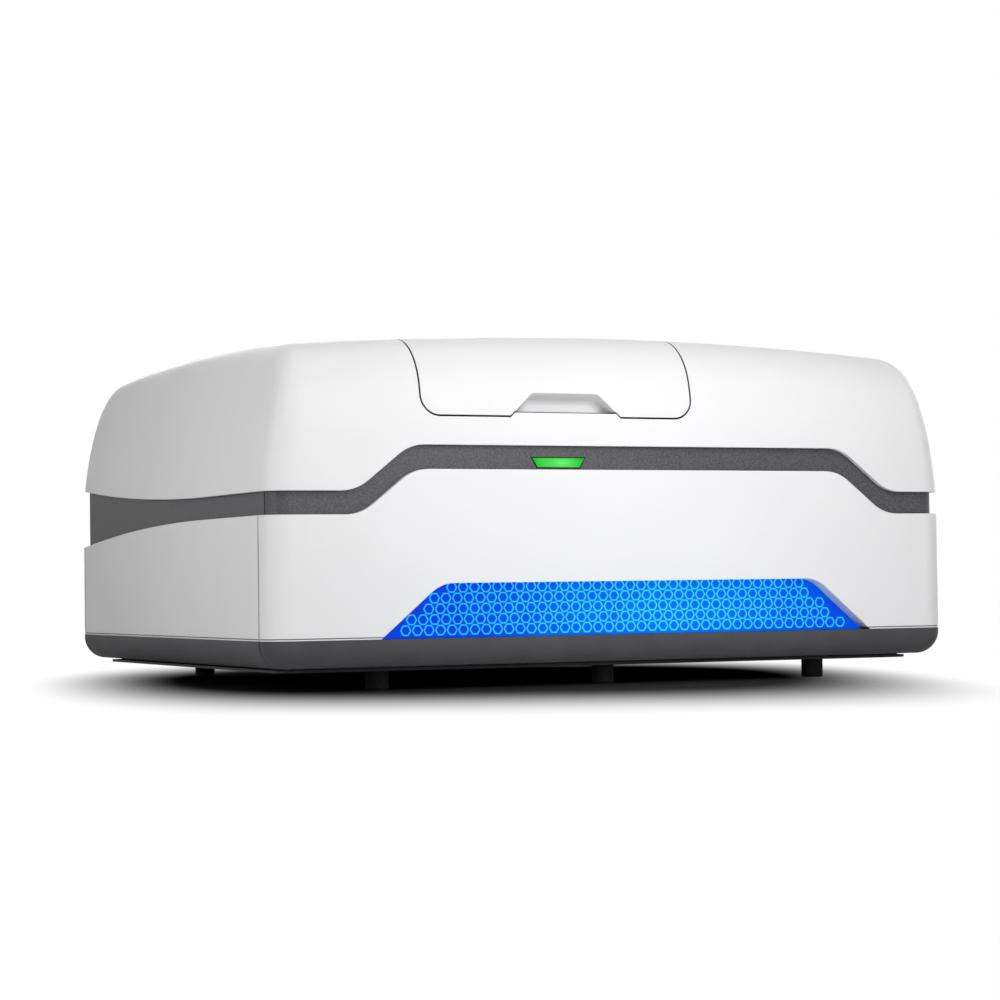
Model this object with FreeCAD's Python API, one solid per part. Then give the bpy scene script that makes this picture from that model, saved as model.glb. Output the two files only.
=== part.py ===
# Benchtop cell imaging system: a wide white housing on a dark tray with six feet, a lid with a
# hinged access door over the loading bay, and the inverted microscope that stands inside.
# Millimetres. Origin at the centre of the footprint on the bench, +X to the right seen from the
# front, -Y towards the user, +Z up.
import FreeCAD, Part
import math
import os

V = FreeCAD.Vector

# Overall envelope
WIDTH = 880.0
DEPTH = 752.0
HEIGHT = 416.0
CORNER_R = 30.0
BEYOND = 12.0          # how far a cutting tool runs past the housing
SEAM_GAP = 3.0         # open seam between neighbouring housing panels
JOINT_GAP = 0.8        # parting between the flanges inside the tray
SEAT_GAP = 0.3         # clearance of a part dropped into its place
RUN_GAP = 0.1          # clearance of a carriage on its rail, each side
SHAFT_PLAY = 0.05      # radial clearance of a shaft in its bore

# Feet and base plate
FOOT_R = 13.0
FOOT_HEIGHT = 22.0
FOOT_CHAMFER = 1.5
FOOT_INSET_SIDE = 154.0
FOOT_INSET_END = 66.0
BASE_PLATE_T = 3.0
BASE_INSET_SIDE = 28.0
BASE_INSET_FRONT = 42.0
BASE_CORNER_R = 20.0

# Tray that runs round the bottom edge
TRAY_LIFT = 2.0        # shadow gap between base plate and tray
TRAY_TOP = 58.0
TRAY_ROUND = 28.0
TRAY_WALL = 3.5
TONGUE_T = 3.0
TONGUE_RISE = 6.0
TRAY_LEDGE = 26.0      # depth of the front ledge that closes the light window

# Housing skin
WALL = 4.0
RETURN_T = 3.0         # thickness of the returned edges
BAND_INSET = 8.0
BAND_WALL = 4.0
PANEL_LIFT = 0.3
GROOVE_RISE = 1.5      # lip under the shadow groove of the panels
GROOVE_H = 1.0
GROOVE_DEPTH = 1.2
LAP_T = 2.3            # strip behind a seam, with its clearance
LAP_W = 8.0

# Stepped edges of the front: panel top edge and lid lower edge
STEP_CENTRE_X = 11.0
STEP_SLOPE = 38.5
STEP_R = 52.0
PANEL_EDGE_LOW = 197.5
PANEL_EDGE_HIGH = 248.5
PANEL_STEP_INSET = 132.0
LID_EDGE_LOW = 224.0
LID_EDGE_HIGH = 276.0
LID_STEP_INSET = 127.0
SWEEP_START = 220.0    # the side edges run level for this length and then open to the rear
LID_SWEEP = 26.5
PANEL_SWEEP = 26.5
BAND_LAP = 9.0          # how far the band runs on behind lid and panels

# Lid form
LEAN_R = 280.0
LEAN_ANGLE = 12.4
SHOULDER_R = 74.0
CROWN_R_LONG = 5300.0
CROWN_R_CROSS = 4900.0
SIDE_R = 600.0
SIDE_LEAN = 3.6

# Light window in the front panel
WINDOW_TOP = 120.0
WINDOW_MID_Z = 89.0
WINDOW_INSET = 159.0
WINDOW_SLOPE = 40.0
WINDOW_R = 42.0
WINDOW_DEPTH = 20.0
WINDOW_WALL = 3.0
LIGHT_T = 4.0
BOARD_T = 1.6

# Status light in the band
STATUS_X = -82.0
STATUS_LOW = 251.5
STATUS_HIGH = 262.0
STATUS_HALF_LOW = 26.5
STATUS_HALF_HIGH = 33.0
STATUS_PROUD = 1.0
STATUS_BEHIND = 2.0

# Access door
DOOR_X = -83.0
DOOR_HALF = 171.0
DOOR_LOW = 310.0
DOOR_DEPTH = 220.0
DOOR_R = 22.0
DOOR_SEAM = 2.0
DOOR_REAR_GAP = 4.5
LINER_INSET = 8.0
LINER_T = 8.0
SEAL_T = 2.0
SEAL_LAP = 3.0
NOTCH_RISE = 5.5
NOTCH_HALF = 64.5
NOTCH_X = -74.5
SCOOP_TOP = 339.0
SCOOP_HALF_TOP = 41.0
SCOOP_DEPTH = 20.0
SCOOP_ROOF_DRAFT = 11.0
SCOOP_SIDE_DRAFT = 9.0
SCOOP_R = 9.0
SCOOP_WALL = 2.5

# Door hinge
HINGE_BACK = 7.0       # pin centre in front of the rear edge of the door
HINGE_DROP = 7.5       # pin centre below the outer skin
HINGE_SPREAD = 70.0
PIN_R = 1.6
LUG_R = 3.2
LUG_W = 8.0
KNUCKLE_R = 3.6
KNUCKLE_W = 10.0
KNUCKLE_GAP = 0.4
BRACKET_DIP = 14.0
BRACKET_REACH = 52.0
BRACKET_BAR = 6.0

# Loading bay under the door
BAY_MARGIN = 5.0
BAY_WALL = 3.0
BAY_FLOOR = 296.0
BAY_DEPTH = 272.0
PORT_HALF_X = 112.0
PORT_HALF_Y = 58.0
BUMPER_R = 3.0

# Chassis frame
RAIL = 20.0
RAIL_INSET = 45.0
DECK_Z = 205.0
DECK_T = 3.0
DECK_W = 60.0

# Optical base and stage
STAGE_BEHIND = 145.0   # objective axis behind the front of the housing
BASE_HALF_X = 170.0
BASE_BEHIND = 80.0
BASE_L = 230.0
OPTICS_Z = 70.0
OPTICS_T = 20.0
ISOLATOR_R = 15.0
ISOLATOR_INSET = 25.0
POST_R = 8.0
POST_X = 130.0
POST_Y = 55.0
STAGE_Z = 228.0
STAGE_T = 12.0
STAGE_HALF_X = 150.0
STAGE_BORE = 30.0
RAIL_SPARE = 25.0      # rail beyond the saddle at the end of its travel
Y_RAIL_X = 120.0
Y_RAIL_W = 12.0
Y_RAIL_H = 8.0
SADDLE_SIDE = 8.0
SADDLE_ROOF = 4.0
SADDLE_LIFT = 0.6
Y_TRAVEL = 20.0        # stage travel to each side of its middle
Y_PLATE_T = 8.0
Y_PLATE_HALF_X = 140.0
Y_PLATE_HALF_Y = 70.0
Y_SADDLE_HALF = 30.0
Y_WINDOW_SPARE = 4.0
X_RAIL_Y = 55.0
X_RAIL_W = 10.0
X_RAIL_H = 7.0
X_TRAVEL = 60.0
X_PLATE_T = 7.0
X_PLATE_HALF_X = 60.0
X_SADDLE_HALF = 50.0

# Chip, its nest and clamp
CHIP_X = 76.0
CHIP_Y = 26.0
CHIP_T = 4.0
NEST_FLOOR = 1.5
NEST_LEDGE = 4.0
WELL_R = 2.5
WELL_DEPTH = 2.0
CHIP_WELLS = 6
CLAMP_T = 3.0
CLAMP_HALF_X = 44.0
CLAMP_FRONT = 20.0
CLAMP_AXIS_Y = 27.0
CLAMP_AXIS_RISE = 5.0
CLAMP_PIN_R = 1.5
CLAMP_EYE_R = 3.5
CLAMP_EAR_W = 6.0
CLAMP_EAR_GAP = 0.5

# Objective and focus drive
BARREL_R = 16.0
TIP_R = 7.0
TIP_H = 18.0
TIP_GAP = 0.6          # tip below the underside of the chip carriage
NECK_R = 10.0
NECK_H = 12.0
FOCUS_TOP = 200.0
FOCUS_T = 25.0
FOCUS_HALF_X = 25.0
FOCUS_FRONT = 22.0
COLUMN_HALF_X = 30.0
COLUMN_T = 20.0
COLUMN_FRONT = 40.0
FOCUS_RAIL_W = 12.0
FOCUS_RAIL_T = 8.0
FOCUS_RAIL_LOW = 130.0

# Optical path
BEAM_RISE = 28.0
CUBE = 50.0
BEAM_R = 9.0
WHEEL_R = 45.0
WHEEL_T = 6.0
WHEEL_ORBIT = 32.0
FILTERS = 6
FILTER_R = 11.0
WHEEL_ASIDE = 48.0
WHEEL_SHAFT_R = 3.0
WHEEL_GAP = 1.0
MOTOR_PLATE_T = 6.0
MOTOR_HALF_Y = 25.0
MOTOR_R = 17.0
MOTOR_L = 9.0
TUBE_R = 20.0
TUBE_L = 54.0
TUBE_FOOT = 12.0
CAMERA_L = 46.0
CAMERA_HALF = 27.0
LASER_L = 110.0
LASER_HALF = 30.0
LASER_H = 58.0
NOZZLE_R = 9.0
NOZZLE_L = 24.0

# Electronics bay on the right
SUPPLY_GAP = 25.0
SUPPLY_L = 200.0
SUPPLY_W = 100.0
SUPPLY_H = 42.0
BOARD_MARGIN = 15.0
BOARD_BEHIND = 220.0
BOARD_L = 220.0
BOARD_W = 170.0
STANDOFF_R = 4.0
STANDOFF_H = 12.0
CHIP_BLOCK_H = 5.0

# Fans on the rear panel
FAN_INSETS = (290.0, 178.0)
FAN_Z = 115.0
FAN_SIZE = 80.0
FAN_T = 25.0
FAN_BORE = 38.0
FAN_HUB_R = 15.0
FAN_BLADES = 7
FAN_BLADE_T = 1.6
FAN_BLADE_PITCH = 35.0
FAN_TIP_GAP = 1.2
FAN_SHAFT_R = 2.0
FAN_PLATE_T = 3.0
STRUT_W = 5.0
GRILLE_SLOTS = 9
GRILLE_PITCH = 8.0
GRILLE_SLOT = 4.5

# Rear connections
INLET_INSET = 110.0
INLET_Z = 115.0
INLET_W = 48.0
INLET_H = 28.0
INLET_L = 24.0
SOCKET_W = 25.0
SOCKET_H = 17.0
SOCKET_DEPTH = 16.0
PRONG_L = 10.0
SWITCH_PITCH = 46.0
SWITCH_W = 16.0
SWITCH_H = 26.0
SWITCH_FRAME = 4.0
ROCKER_ANGLE = 10.0
ROCKER_R = 12.0
PORTS_PITCH = 150.0
PORTS_W = 84.0
PORTS_H = 24.0
PORTS_L = 22.0
PORT_DEPTH = 14.0
PORT_HOLES = ((-28.0, 14.0, 12.0), (-6.0, 14.0, 12.0), (17.0, 13.0, 6.0), (34.0, 10.0, 9.0))
SCREW_R = 3.5
SCREW_T = 1.8
SCREW_SHANK_R = 1.5
SCREW_SHANK_L = 7.0
SCREW_Z = (72.0, 158.0)
SCREW_MARGIN = 40.0
SCREW_ASIDE = 50.0

# Levels that follow from the sizes above
PLATE_TOP = FOOT_HEIGHT + BASE_PLATE_T
TRAY_LOW = PLATE_TOP + TRAY_LIFT
PANEL_LOW = TRAY_TOP + PANEL_LIFT
FRONT = -DEPTH / 2
REAR = DEPTH / 2
SIDE = WIDTH / 2
OPTICS_TOP = OPTICS_Z + OPTICS_T
STAGE_TOP = STAGE_Z + STAGE_T
Y_PLATE_Z = STAGE_TOP + Y_RAIL_H + SADDLE_ROOF
Y_PLATE_TOP = Y_PLATE_Z + Y_PLATE_T
X_PLATE_Z = Y_PLATE_TOP + X_RAIL_H + SADDLE_ROOF
X_PLATE_TOP = X_PLATE_Z + X_PLATE_T
BEAM_Z = OPTICS_TOP + BEAM_RISE
Y_RAIL_HALF = Y_SADDLE_HALF + Y_TRAVEL + RAIL_SPARE
X_RAIL_HALF = X_SADDLE_HALF + X_TRAVEL + RAIL_SPARE
FOOT_X = SIDE - FOOT_INSET_SIDE
FOOT_Y = REAR - FOOT_INSET_END
SEAM_Y = REAR - CORNER_R
SWEEP_START_Y = FRONT + SWEEP_START
PANEL_STEP_HALF = SIDE - PANEL_STEP_INSET
LID_STEP_HALF = SIDE - LID_STEP_INSET
WINDOW_HALF = SIDE - WINDOW_INSET
DOOR_LEFT = DOOR_X - DOOR_HALF
DOOR_RIGHT = DOOR_X + DOOR_HALF
DOOR_REAR = FRONT + DOOR_DEPTH
BAY_REAR_Y = FRONT + BAY_DEPTH
STAGE_X = DOOR_X
STAGE_Y = FRONT + STAGE_BEHIND
BASE_FRONT = FRONT + BASE_BEHIND
BASE_REAR = BASE_FRONT + BASE_L
WHEEL_X = STAGE_X - WHEEL_ASIDE
BOARD_X = SIDE - RAIL_INSET - RAIL - BOARD_MARGIN - BOARD_L / 2
BOARD_Y = FRONT + BOARD_BEHIND
SUPPLY_X = BOARD_X
SUPPLY_Y = BOARD_Y + BOARD_W / 2 + SUPPLY_GAP + SUPPLY_L / 2
FAN_X = tuple(SIDE - inset for inset in FAN_INSETS)
INLET_X = INLET_INSET - SIDE
SWITCH_X = INLET_X + SWITCH_PITCH
PORTS_X = INLET_X + PORTS_PITCH
SCREW_X = (
    SCREW_MARGIN - SIDE,
    PORTS_X - SCREW_ASIDE,
    PORTS_X + PORTS_W / 2 + SCREW_MARGIN,
    FAN_X[0] - FAN_SIZE,
    (FAN_X[0] + FAN_X[1]) / 2,
    FAN_X[1] + FAN_SIZE - BEYOND,
    SIDE - SCREW_MARGIN,
)


# Basic shapes

def block(x0, x1, y0, y1, z0, z1):
    """Box between three pairs of limits."""
    return Part.makeBox(x1 - x0, y1 - y0, z1 - z0, V(x0, y0, z0))


def rod(x, y, z, length, radius, axis):
    """Cylinder from a start point along an axis."""
    return Part.makeCylinder(radius, length, V(x, y, z), axis)


def fused(shapes):
    """One solid from touching shapes, without the seams between them."""
    shapes = list(shapes)
    return shapes[0].multiFuse(shapes[1:]).removeSplitter()


def rounded_edges(points, radii):
    """Closed outline through the points, each corner rounded by its own radius."""
    corners = []
    for index, corner in enumerate(points):
        back = (points[index - 1] - corner).normalize()
        ahead = (points[(index + 1) % len(points)] - corner).normalize()
        radius = radii[index]
        if radius == 0:
            corners.append((corner, None, corner))
            continue
        half = back.getAngle(ahead) / 2
        reach = radius / math.tan(half)
        middle = (back + ahead).normalize() * (radius / math.sin(half) - radius)
        corners.append((corner + back * reach, corner + middle, corner + ahead * reach))
    edges = []
    for index, (start, middle, end) in enumerate(corners):
        if middle is not None:
            edges.append(Part.Arc(start, middle, end).toShape())
        follow = corners[(index + 1) % len(corners)][0]
        edges.append(Part.makeLine(end, follow))
    return Part.Wire(edges)


def extruded(points, radii, travel):
    """Solid swept from a rounded outline."""
    return Part.Face(rounded_edges(points, radii)).extrude(travel)


def front_prism(outline, radii, y0, y1):
    """Outline drawn in the front view, swept along Y."""
    return extruded([V(x, y0, z) for x, z in outline], radii, V(0, y1 - y0, 0))


def side_prism(outline, radii, half_x):
    """Outline drawn in the side view, swept over the whole width."""
    return extruded([V(-half_x, y, z) for y, z in outline], radii, V(2 * half_x, 0, 0))


def plan_prism(outline, radii, z0, z1):
    """Outline drawn in the plan view, swept along Z."""
    return extruded([V(x, y, z0) for x, y in outline], radii, V(0, 0, z1 - z0))


def rounded_block(half_x, half_y, radius, z0, z1):
    """Upright block with four rounded corners."""
    outline = [(-half_x, -half_y), (half_x, -half_y), (half_x, half_y), (-half_x, half_y)]
    return plan_prism(outline, [radius] * 4, z0, z1)


# Housing skin

def skin_block(inset, z0, z1):
    """The housing's plan, moved inwards, as an upright block."""
    return rounded_block(SIDE - inset, REAR - inset, CORNER_R - inset, z0, z1)


def skin_ring(outer, inner, z0, z1):
    """Wall between two insets of the housing's plan."""
    return skin_block(outer, z0, z1).cut(skin_block(inner, z0 - 1, z1 + 1))


def step_edge_zone(low, high, half, floor):
    """Everything under the stepped edge of the front, down to a level."""
    spread = (high - low) / 2 / math.tan(math.radians(STEP_SLOPE))
    reach = SIDE + BEYOND
    outline = [
        (-reach, floor),
        (reach, floor),
        (reach, low),
        (STEP_CENTRE_X + half + spread, low),
        (STEP_CENTRE_X + half - spread, high),
        (STEP_CENTRE_X - half + spread, high),
        (STEP_CENTRE_X - half - spread, low),
        (-reach, low),
    ]
    return front_prism(outline, [0, 0, 0, STEP_R, STEP_R, STEP_R, STEP_R, 0], FRONT - BEYOND, -SEAM_Y)


def side_edge_zone(level, sweep, floor):
    """Everything under the side edges, which leave the level in one long arc to the rear."""
    run = REAR - SWEEP_START_Y
    far = REAR + BEYOND
    start = V(-SIDE - BEYOND, -SEAM_Y, level)
    turn = V(-SIDE - BEYOND, SWEEP_START_Y, level)
    middle = V(-SIDE - BEYOND, SWEEP_START_Y + run / 2, level + sweep / 4)
    end = V(-SIDE - BEYOND, REAR, level + sweep)
    out = V(-SIDE - BEYOND, far, level + sweep)
    low_far = V(-SIDE - BEYOND, far, floor)
    low_near = V(-SIDE - BEYOND, -SEAM_Y, floor)
    edges = [
        Part.makeLine(start, turn),
        Part.Arc(turn, middle, end).toShape(),
        Part.makeLine(end, out),
        Part.makeLine(out, low_far),
        Part.makeLine(low_far, low_near),
        Part.makeLine(low_near, start),
    ]
    return Part.Face(Part.Wire(edges)).extrude(V(WIDTH + 2 * BEYOND, 0, 0))


def under_lid_edge(offset):
    """Region below the lid's lower edge, moved up or down by an offset."""
    front = step_edge_zone(LID_EDGE_LOW + offset, LID_EDGE_HIGH + offset, LID_STEP_HALF, 0)
    return front.fuse(side_edge_zone(LID_EDGE_LOW + offset, LID_SWEEP, 0))


def under_panel_edge(offset):
    """Region below the panels' upper edge, moved up or down by an offset."""
    front = step_edge_zone(PANEL_EDGE_LOW + offset, PANEL_EDGE_HIGH + offset, PANEL_STEP_HALF, 0)
    return front.fuse(side_edge_zone(PANEL_EDGE_LOW + offset, -PANEL_SWEEP, 0))


def crown_angle():
    """Slope where the front shoulder meets the long crown of the lid."""
    lean = math.radians(LEAN_ANGLE)
    run = REAR - LEAN_R * (1 - math.cos(lean)) - SHOULDER_R * math.cos(lean)
    return math.asin(run / (CROWN_R_LONG - SHOULDER_R))


def lean_start():
    """Height where the upright front of the lid starts to lean back."""
    lean = math.radians(LEAN_ANGLE)
    slope = crown_angle()
    crown = CROWN_R_LONG * (1 - math.cos(slope))
    shoulder = SHOULDER_R * (math.cos(slope) - math.sin(lean))
    return HEIGHT - crown - shoulder - LEAN_R * math.sin(lean)


def lean_back(height):
    """How far the front of the lid has leant back at a height below the shoulder."""
    rise = height - lean_start()
    return LEAN_R - math.sqrt(LEAN_R ** 2 - rise ** 2)


def lid_top(x, y):
    """Height of the lid's outer skin over a point of the crown."""
    long_drop = CROWN_R_LONG - math.sqrt(CROWN_R_LONG ** 2 - y ** 2)
    cross_drop = CROWN_R_CROSS - math.sqrt(CROWN_R_CROSS ** 2 - x ** 2)
    return HEIGHT - long_drop - cross_drop


def lid_profile(inset, floor):
    """Side view of the lid: upright, lean, shoulder and crown, the same front and rear."""
    lean = math.radians(LEAN_ANGLE)
    slope = crown_angle()
    lean_r = LEAN_R - inset
    shoulder_r = SHOULDER_R - inset
    base = V(0, FRONT + inset, floor)
    upright = V(0, FRONT + inset, lean_start())
    lean_centre = upright + V(0, lean_r, 0)
    shoulder = lean_centre + V(0, -math.cos(lean), math.sin(lean)) * lean_r
    lean_mid = lean_centre + V(0, -math.cos(lean / 2), math.sin(lean / 2)) * lean_r
    shoulder_centre = shoulder + V(0, math.cos(lean), -math.sin(lean)) * shoulder_r
    crown = shoulder_centre + V(0, -math.sin(slope), math.cos(slope)) * shoulder_r
    turn = (lean + math.pi / 2 - slope) / 2
    shoulder_mid = shoulder_centre + V(0, -math.cos(turn), math.sin(turn)) * shoulder_r
    half = [(base, None, upright), (upright, lean_mid, shoulder), (shoulder, shoulder_mid, crown)]
    edges = []
    for start, middle, end in half:
        for sign in (1, -1):
            flip = [V(0, sign * point.y, point.z) for point in (start, end)]
            if middle is None:
                edges.append(Part.makeLine(flip[0], flip[1]))
            else:
                edges.append(Part.Arc(flip[0], V(0, sign * middle.y, middle.z), flip[1]).toShape())
    peak = V(0, 0, HEIGHT - inset)
    edges.append(Part.Arc(crown, peak, V(0, -crown.y, crown.z)).toShape())
    edges.append(Part.makeLine(base, V(0, -base.y, base.z)))
    return Part.Face(Part.Wire(Part.__sortEdges__(edges)))


def lid_sides(inset, floor):
    """Front view of the lid's leaning sides, swept over the depth."""
    lean = math.radians(SIDE_LEAN)
    centre_x = SIDE - SIDE_R * math.cos(lean)
    centre_z = LID_EDGE_LOW - SIDE_R * math.sin(lean)
    radius = SIDE_R - inset
    top = HEIGHT + BEYOND

    def on_arc(height):
        return centre_x + math.sqrt(radius ** 2 - (height - centre_z) ** 2)

    y0 = FRONT - BEYOND
    levels = (floor, (floor + top) / 2, top)
    right = [V(on_arc(z), y0, z) for z in levels]
    left = [V(-on_arc(z), y0, z) for z in levels]
    edges = [
        Part.makeLine(left[0], right[0]),
        Part.Arc(*right).toShape(),
        Part.makeLine(right[2], left[2]),
        Part.Arc(*reversed(left)).toShape(),
    ]
    return Part.Face(Part.Wire(edges)).extrude(V(0, DEPTH + 2 * BEYOND, 0))


def lid_block(inset, floor):
    """Solid under the lid's skin, moved inwards, with the corner rounding that runs over the top."""
    axis_z = HEIGHT - CROWN_R_CROSS
    half_turn = math.degrees(math.asin((SIDE + BEYOND) / (CROWN_R_CROSS - HEIGHT)))
    start = lid_profile(inset, floor - CORNER_R)
    start.rotate(V(0, 0, axis_z), V(0, 1, 0), -half_turn)
    crowned = start.revolve(V(0, 0, axis_z), V(0, 1, 0), 2 * half_turn)
    blank = crowned.common(lid_sides(inset, floor))
    chain = []
    for edge in blank.Edges:
        box = edge.BoundBox
        if box.XLength < SIDE / 4 and box.ZMax > floor + 1:
            chain.append(edge)
    return blank.makeFillet(CORNER_R - inset, chain)


def lid_skin(outer, inner, floor):
    """Crowned shell between two insets."""
    return lid_block(outer, floor).cut(lid_block(inner, floor - 1))


# Feet, base plate and tray

def foot():
    """One turned foot with a chamfered tread."""
    body = Part.makeCylinder(FOOT_R, FOOT_HEIGHT)
    tread = [edge for edge in body.Edges if edge.BoundBox.ZMax < FOOT_CHAMFER]
    return body.makeChamfer(FOOT_CHAMFER, tread)


def feet():
    """Six feet in two rows, named by their place."""
    rows = (("front", -FOOT_Y), ("rear", FOOT_Y))
    places = (("left", -FOOT_X), ("middle", 0.0), ("right", FOOT_X))
    made = {}
    for row, y in rows:
        for place, x in places:
            made["foot_%s_%s" % (row, place)] = foot().translated(V(x, y, 0))
    return made


def base_plate():
    """Black steel plate under the whole instrument."""
    half_x = SIDE - BASE_INSET_SIDE
    half_y = REAR - BASE_INSET_FRONT
    return rounded_block(half_x, half_y, BASE_CORNER_R, FOOT_HEIGHT, PLATE_TOP)


def tray_shell(inset, floor):
    """Tray form with its bull-nosed lower edge."""
    solid = skin_block(inset, floor, TRAY_TOP + 1)
    low = [edge for edge in solid.Edges if edge.BoundBox.ZMax < floor + 1]
    return solid.makeFillet(TRAY_ROUND - inset, low)


def tray_ring():
    """Open ring: bull-nosed wall, inner foot flange, top ledge and the tongue behind the panels."""
    wall = tray_shell(0, TRAY_LOW).cut(tray_shell(TRAY_WALL, TRAY_LOW + TRAY_WALL))
    wall = wall.cut(skin_block(-1, TRAY_TOP, TRAY_TOP + 2))
    inner_x = SIDE - RAIL_INSET
    inner_y = REAR - RAIL_INSET
    wall = wall.cut(block(-inner_x, inner_x, -inner_y, inner_y, TRAY_LOW - 1, TRAY_TOP))
    ledge_low = TRAY_TOP - TRAY_WALL
    ledge = skin_ring(TRAY_WALL / 2, WALL + TONGUE_T, ledge_low, TRAY_TOP)
    tongue = skin_ring(WALL, WALL + TONGUE_T, TRAY_TOP - 1, TRAY_TOP + TONGUE_RISE)
    return wall.fuse(ledge).fuse(tongue)


def tray_pieces():
    """Front and rear tray with their corners, and the two sides between them."""
    ring = tray_ring()
    reach = SIDE + BEYOND
    half_seam = SEAM_GAP / 2
    inner_x = SIDE - RAIL_INSET - JOINT_GAP / 2
    inner_y = REAR - RAIL_INSET - 1
    ledge = block(-WINDOW_HALF - TRAY_LEDGE, WINDOW_HALF + 2 * TRAY_LEDGE, FRONT + TRAY_WALL,
                  FRONT + TRAY_LEDGE, TRAY_TOP - TRAY_WALL, TRAY_TOP)
    clear = window_solid(WINDOW_WALL + SEAT_GAP, FRONT - 1, FRONT + TRAY_LEDGE, TRAY_TOP)
    ends = block(-reach, reach, SEAM_Y + half_seam, REAR + 1, 0, HEIGHT)
    ends = ends.fuse(block(-inner_x, inner_x, inner_y, REAR + 1, 0, HEIGHT))
    rear = ring.common(ends)
    front = ring.common(ends.mirror(V(0, 0, 0), V(0, 1, 0)))
    sides = block(-reach, reach, -SEAM_Y + half_seam, SEAM_Y - half_seam, 0, HEIGHT)
    left = ring.common(sides).common(block(-reach, -inner_x - JOINT_GAP, FRONT, REAR, 0, HEIGHT))
    right = ring.common(sides).common(block(inner_x + JOINT_GAP, reach, FRONT, REAR, 0, HEIGHT))
    return {
        "tray_front": front.fuse(ledge).cut(clear).removeSplitter(),
        "tray_rear": rear.removeSplitter(),
        "tray_left": left.removeSplitter(),
        "tray_right": right.removeSplitter(),
    }


# Panels and band

def window_solid(offset, y0, y1, floor):
    """Trapezoid of the light window with rounded upper corners, open downwards."""
    slope = math.radians(WINDOW_SLOPE)
    spread = offset / math.sin(slope)

    def half_at(height):
        return WINDOW_HALF - (height - WINDOW_MID_Z) / math.tan(slope) + spread

    top = WINDOW_TOP + offset
    outline = [
        (STEP_CENTRE_X - half_at(floor), floor),
        (STEP_CENTRE_X + half_at(floor), floor),
        (STEP_CENTRE_X + half_at(top), top),
        (STEP_CENTRE_X - half_at(top), top),
    ]
    radius = WINDOW_R + offset
    return front_prism(outline, [0, 0, radius, radius], y0, y1)


def panel_ring():
    """Upright walls of the lower housing with the returned upper edge."""
    top = PANEL_EDGE_HIGH + BEYOND
    wall = skin_ring(0, WALL, PANEL_LOW, top).common(under_panel_edge(0))
    lip = skin_ring(WALL / 2, BAND_INSET, PANEL_LOW, top)
    lip = lip.common(under_panel_edge(0)).cut(under_panel_edge(-RETURN_T))
    groove_low = PANEL_LOW + GROOVE_RISE
    groove = skin_ring(-1, GROOVE_DEPTH, groove_low, groove_low + GROOVE_H)
    return wall.fuse(lip).cut(groove)


def seam_laps():
    """Strips behind the front seams and the rear seams, clear of the side panels."""
    low = TRAY_TOP + TONGUE_RISE + SEAT_GAP
    top = PANEL_EDGE_HIGH + BEYOND
    reach = SIDE + BEYOND
    start = -SEAM_Y - LAP_W
    root = skin_ring(WALL - 1, WALL + LAP_T, low, top)
    root = root.common(block(-reach, reach, start, -SEAM_Y - SEAM_GAP / 2, low, top))
    strip = skin_ring(WALL + SEAT_GAP, WALL + LAP_T, low, top)
    strip = strip.common(block(-reach, reach, start, -SEAM_Y + LAP_W, low, top))
    laps = root.fuse(strip)
    under_lip = under_panel_edge(-RETURN_T - SEAT_GAP)
    return laps.common(under_lip), laps.mirror(V(0, 0, 0), V(0, 1, 0)).common(under_lip)


def panels():
    """Front, rear and two side panels cut from one ring."""
    ring = panel_ring()
    reach = SIDE + BEYOND
    half_seam = SEAM_GAP / 2
    front_laps, rear_laps = seam_laps()
    front = ring.common(block(-reach, reach, FRONT - 1, -SEAM_Y - half_seam, 0, HEIGHT))
    front = front.fuse(front_laps)
    rear = ring.common(block(-reach, reach, SEAM_Y + half_seam, REAR + 1, 0, HEIGHT))
    rear = rear.fuse(rear_laps)
    sides = ring.common(block(-reach, reach, -SEAM_Y + half_seam, SEAM_Y - half_seam, 0, HEIGHT))
    left = sides.common(block(-reach, 0, FRONT, REAR, 0, HEIGHT))
    right = sides.common(block(0, reach, FRONT, REAR, 0, HEIGHT))
    tube = window_solid(WINDOW_WALL, FRONT + WALL / 2, FRONT + WINDOW_DEPTH, PANEL_LOW)
    front = front.fuse(tube).cut(window_solid(0, FRONT - 1, FRONT + WINDOW_DEPTH + 1, TRAY_LOW))
    rear = rear_openings(rear)
    return {
        "front_panel": front.removeSplitter(),
        "rear_panel": rear.removeSplitter(),
        "side_panel_left": left.removeSplitter(),
        "side_panel_right": right.removeSplitter(),
    }


def rear_openings(panel):
    """Fan grilles, cut-outs for the connections and seats of the screws."""
    tools = []
    y0 = REAR - WALL - 1
    y1 = REAR + 1
    for fan_x in FAN_X:
        for slot in range(GRILLE_SLOTS):
            rise = (slot - (GRILLE_SLOTS - 1) / 2) * GRILLE_PITCH
            half = math.sqrt((FAN_BORE - 1) ** 2 - rise ** 2)
            z0 = FAN_Z + rise - GRILLE_SLOT / 2
            tools.append(block(fan_x - half, fan_x - 2, y0, y1, z0, z0 + GRILLE_SLOT))
            tools.append(block(fan_x + 2, fan_x + half, y0, y1, z0, z0 + GRILLE_SLOT))
    fitted = (
        (INLET_X, INLET_W, INLET_H),
        (SWITCH_X, SWITCH_W + 2 * SWITCH_FRAME, SWITCH_H + 2 * SWITCH_FRAME),
        (PORTS_X, PORTS_W, PORTS_H),
    )
    for x, width, height in fitted:
        half_x = width / 2 + SEAT_GAP
        half_z = height / 2 + SEAT_GAP
        tools.append(block(x - half_x, x + half_x, y0, y1, INLET_Z - half_z, INLET_Z + half_z))
    for x in SCREW_X:
        for z in SCREW_Z:
            tools.append(rod(x, REAR - SCREW_T, z, SCREW_T + 1, SCREW_R + SEAT_GAP, V(0, 1, 0)))
            tools.append(rod(x, y0, z, WALL + 2, SCREW_SHANK_R + SHAFT_PLAY, V(0, 1, 0)))
    return panel.cut(Part.makeCompound(tools))


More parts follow.
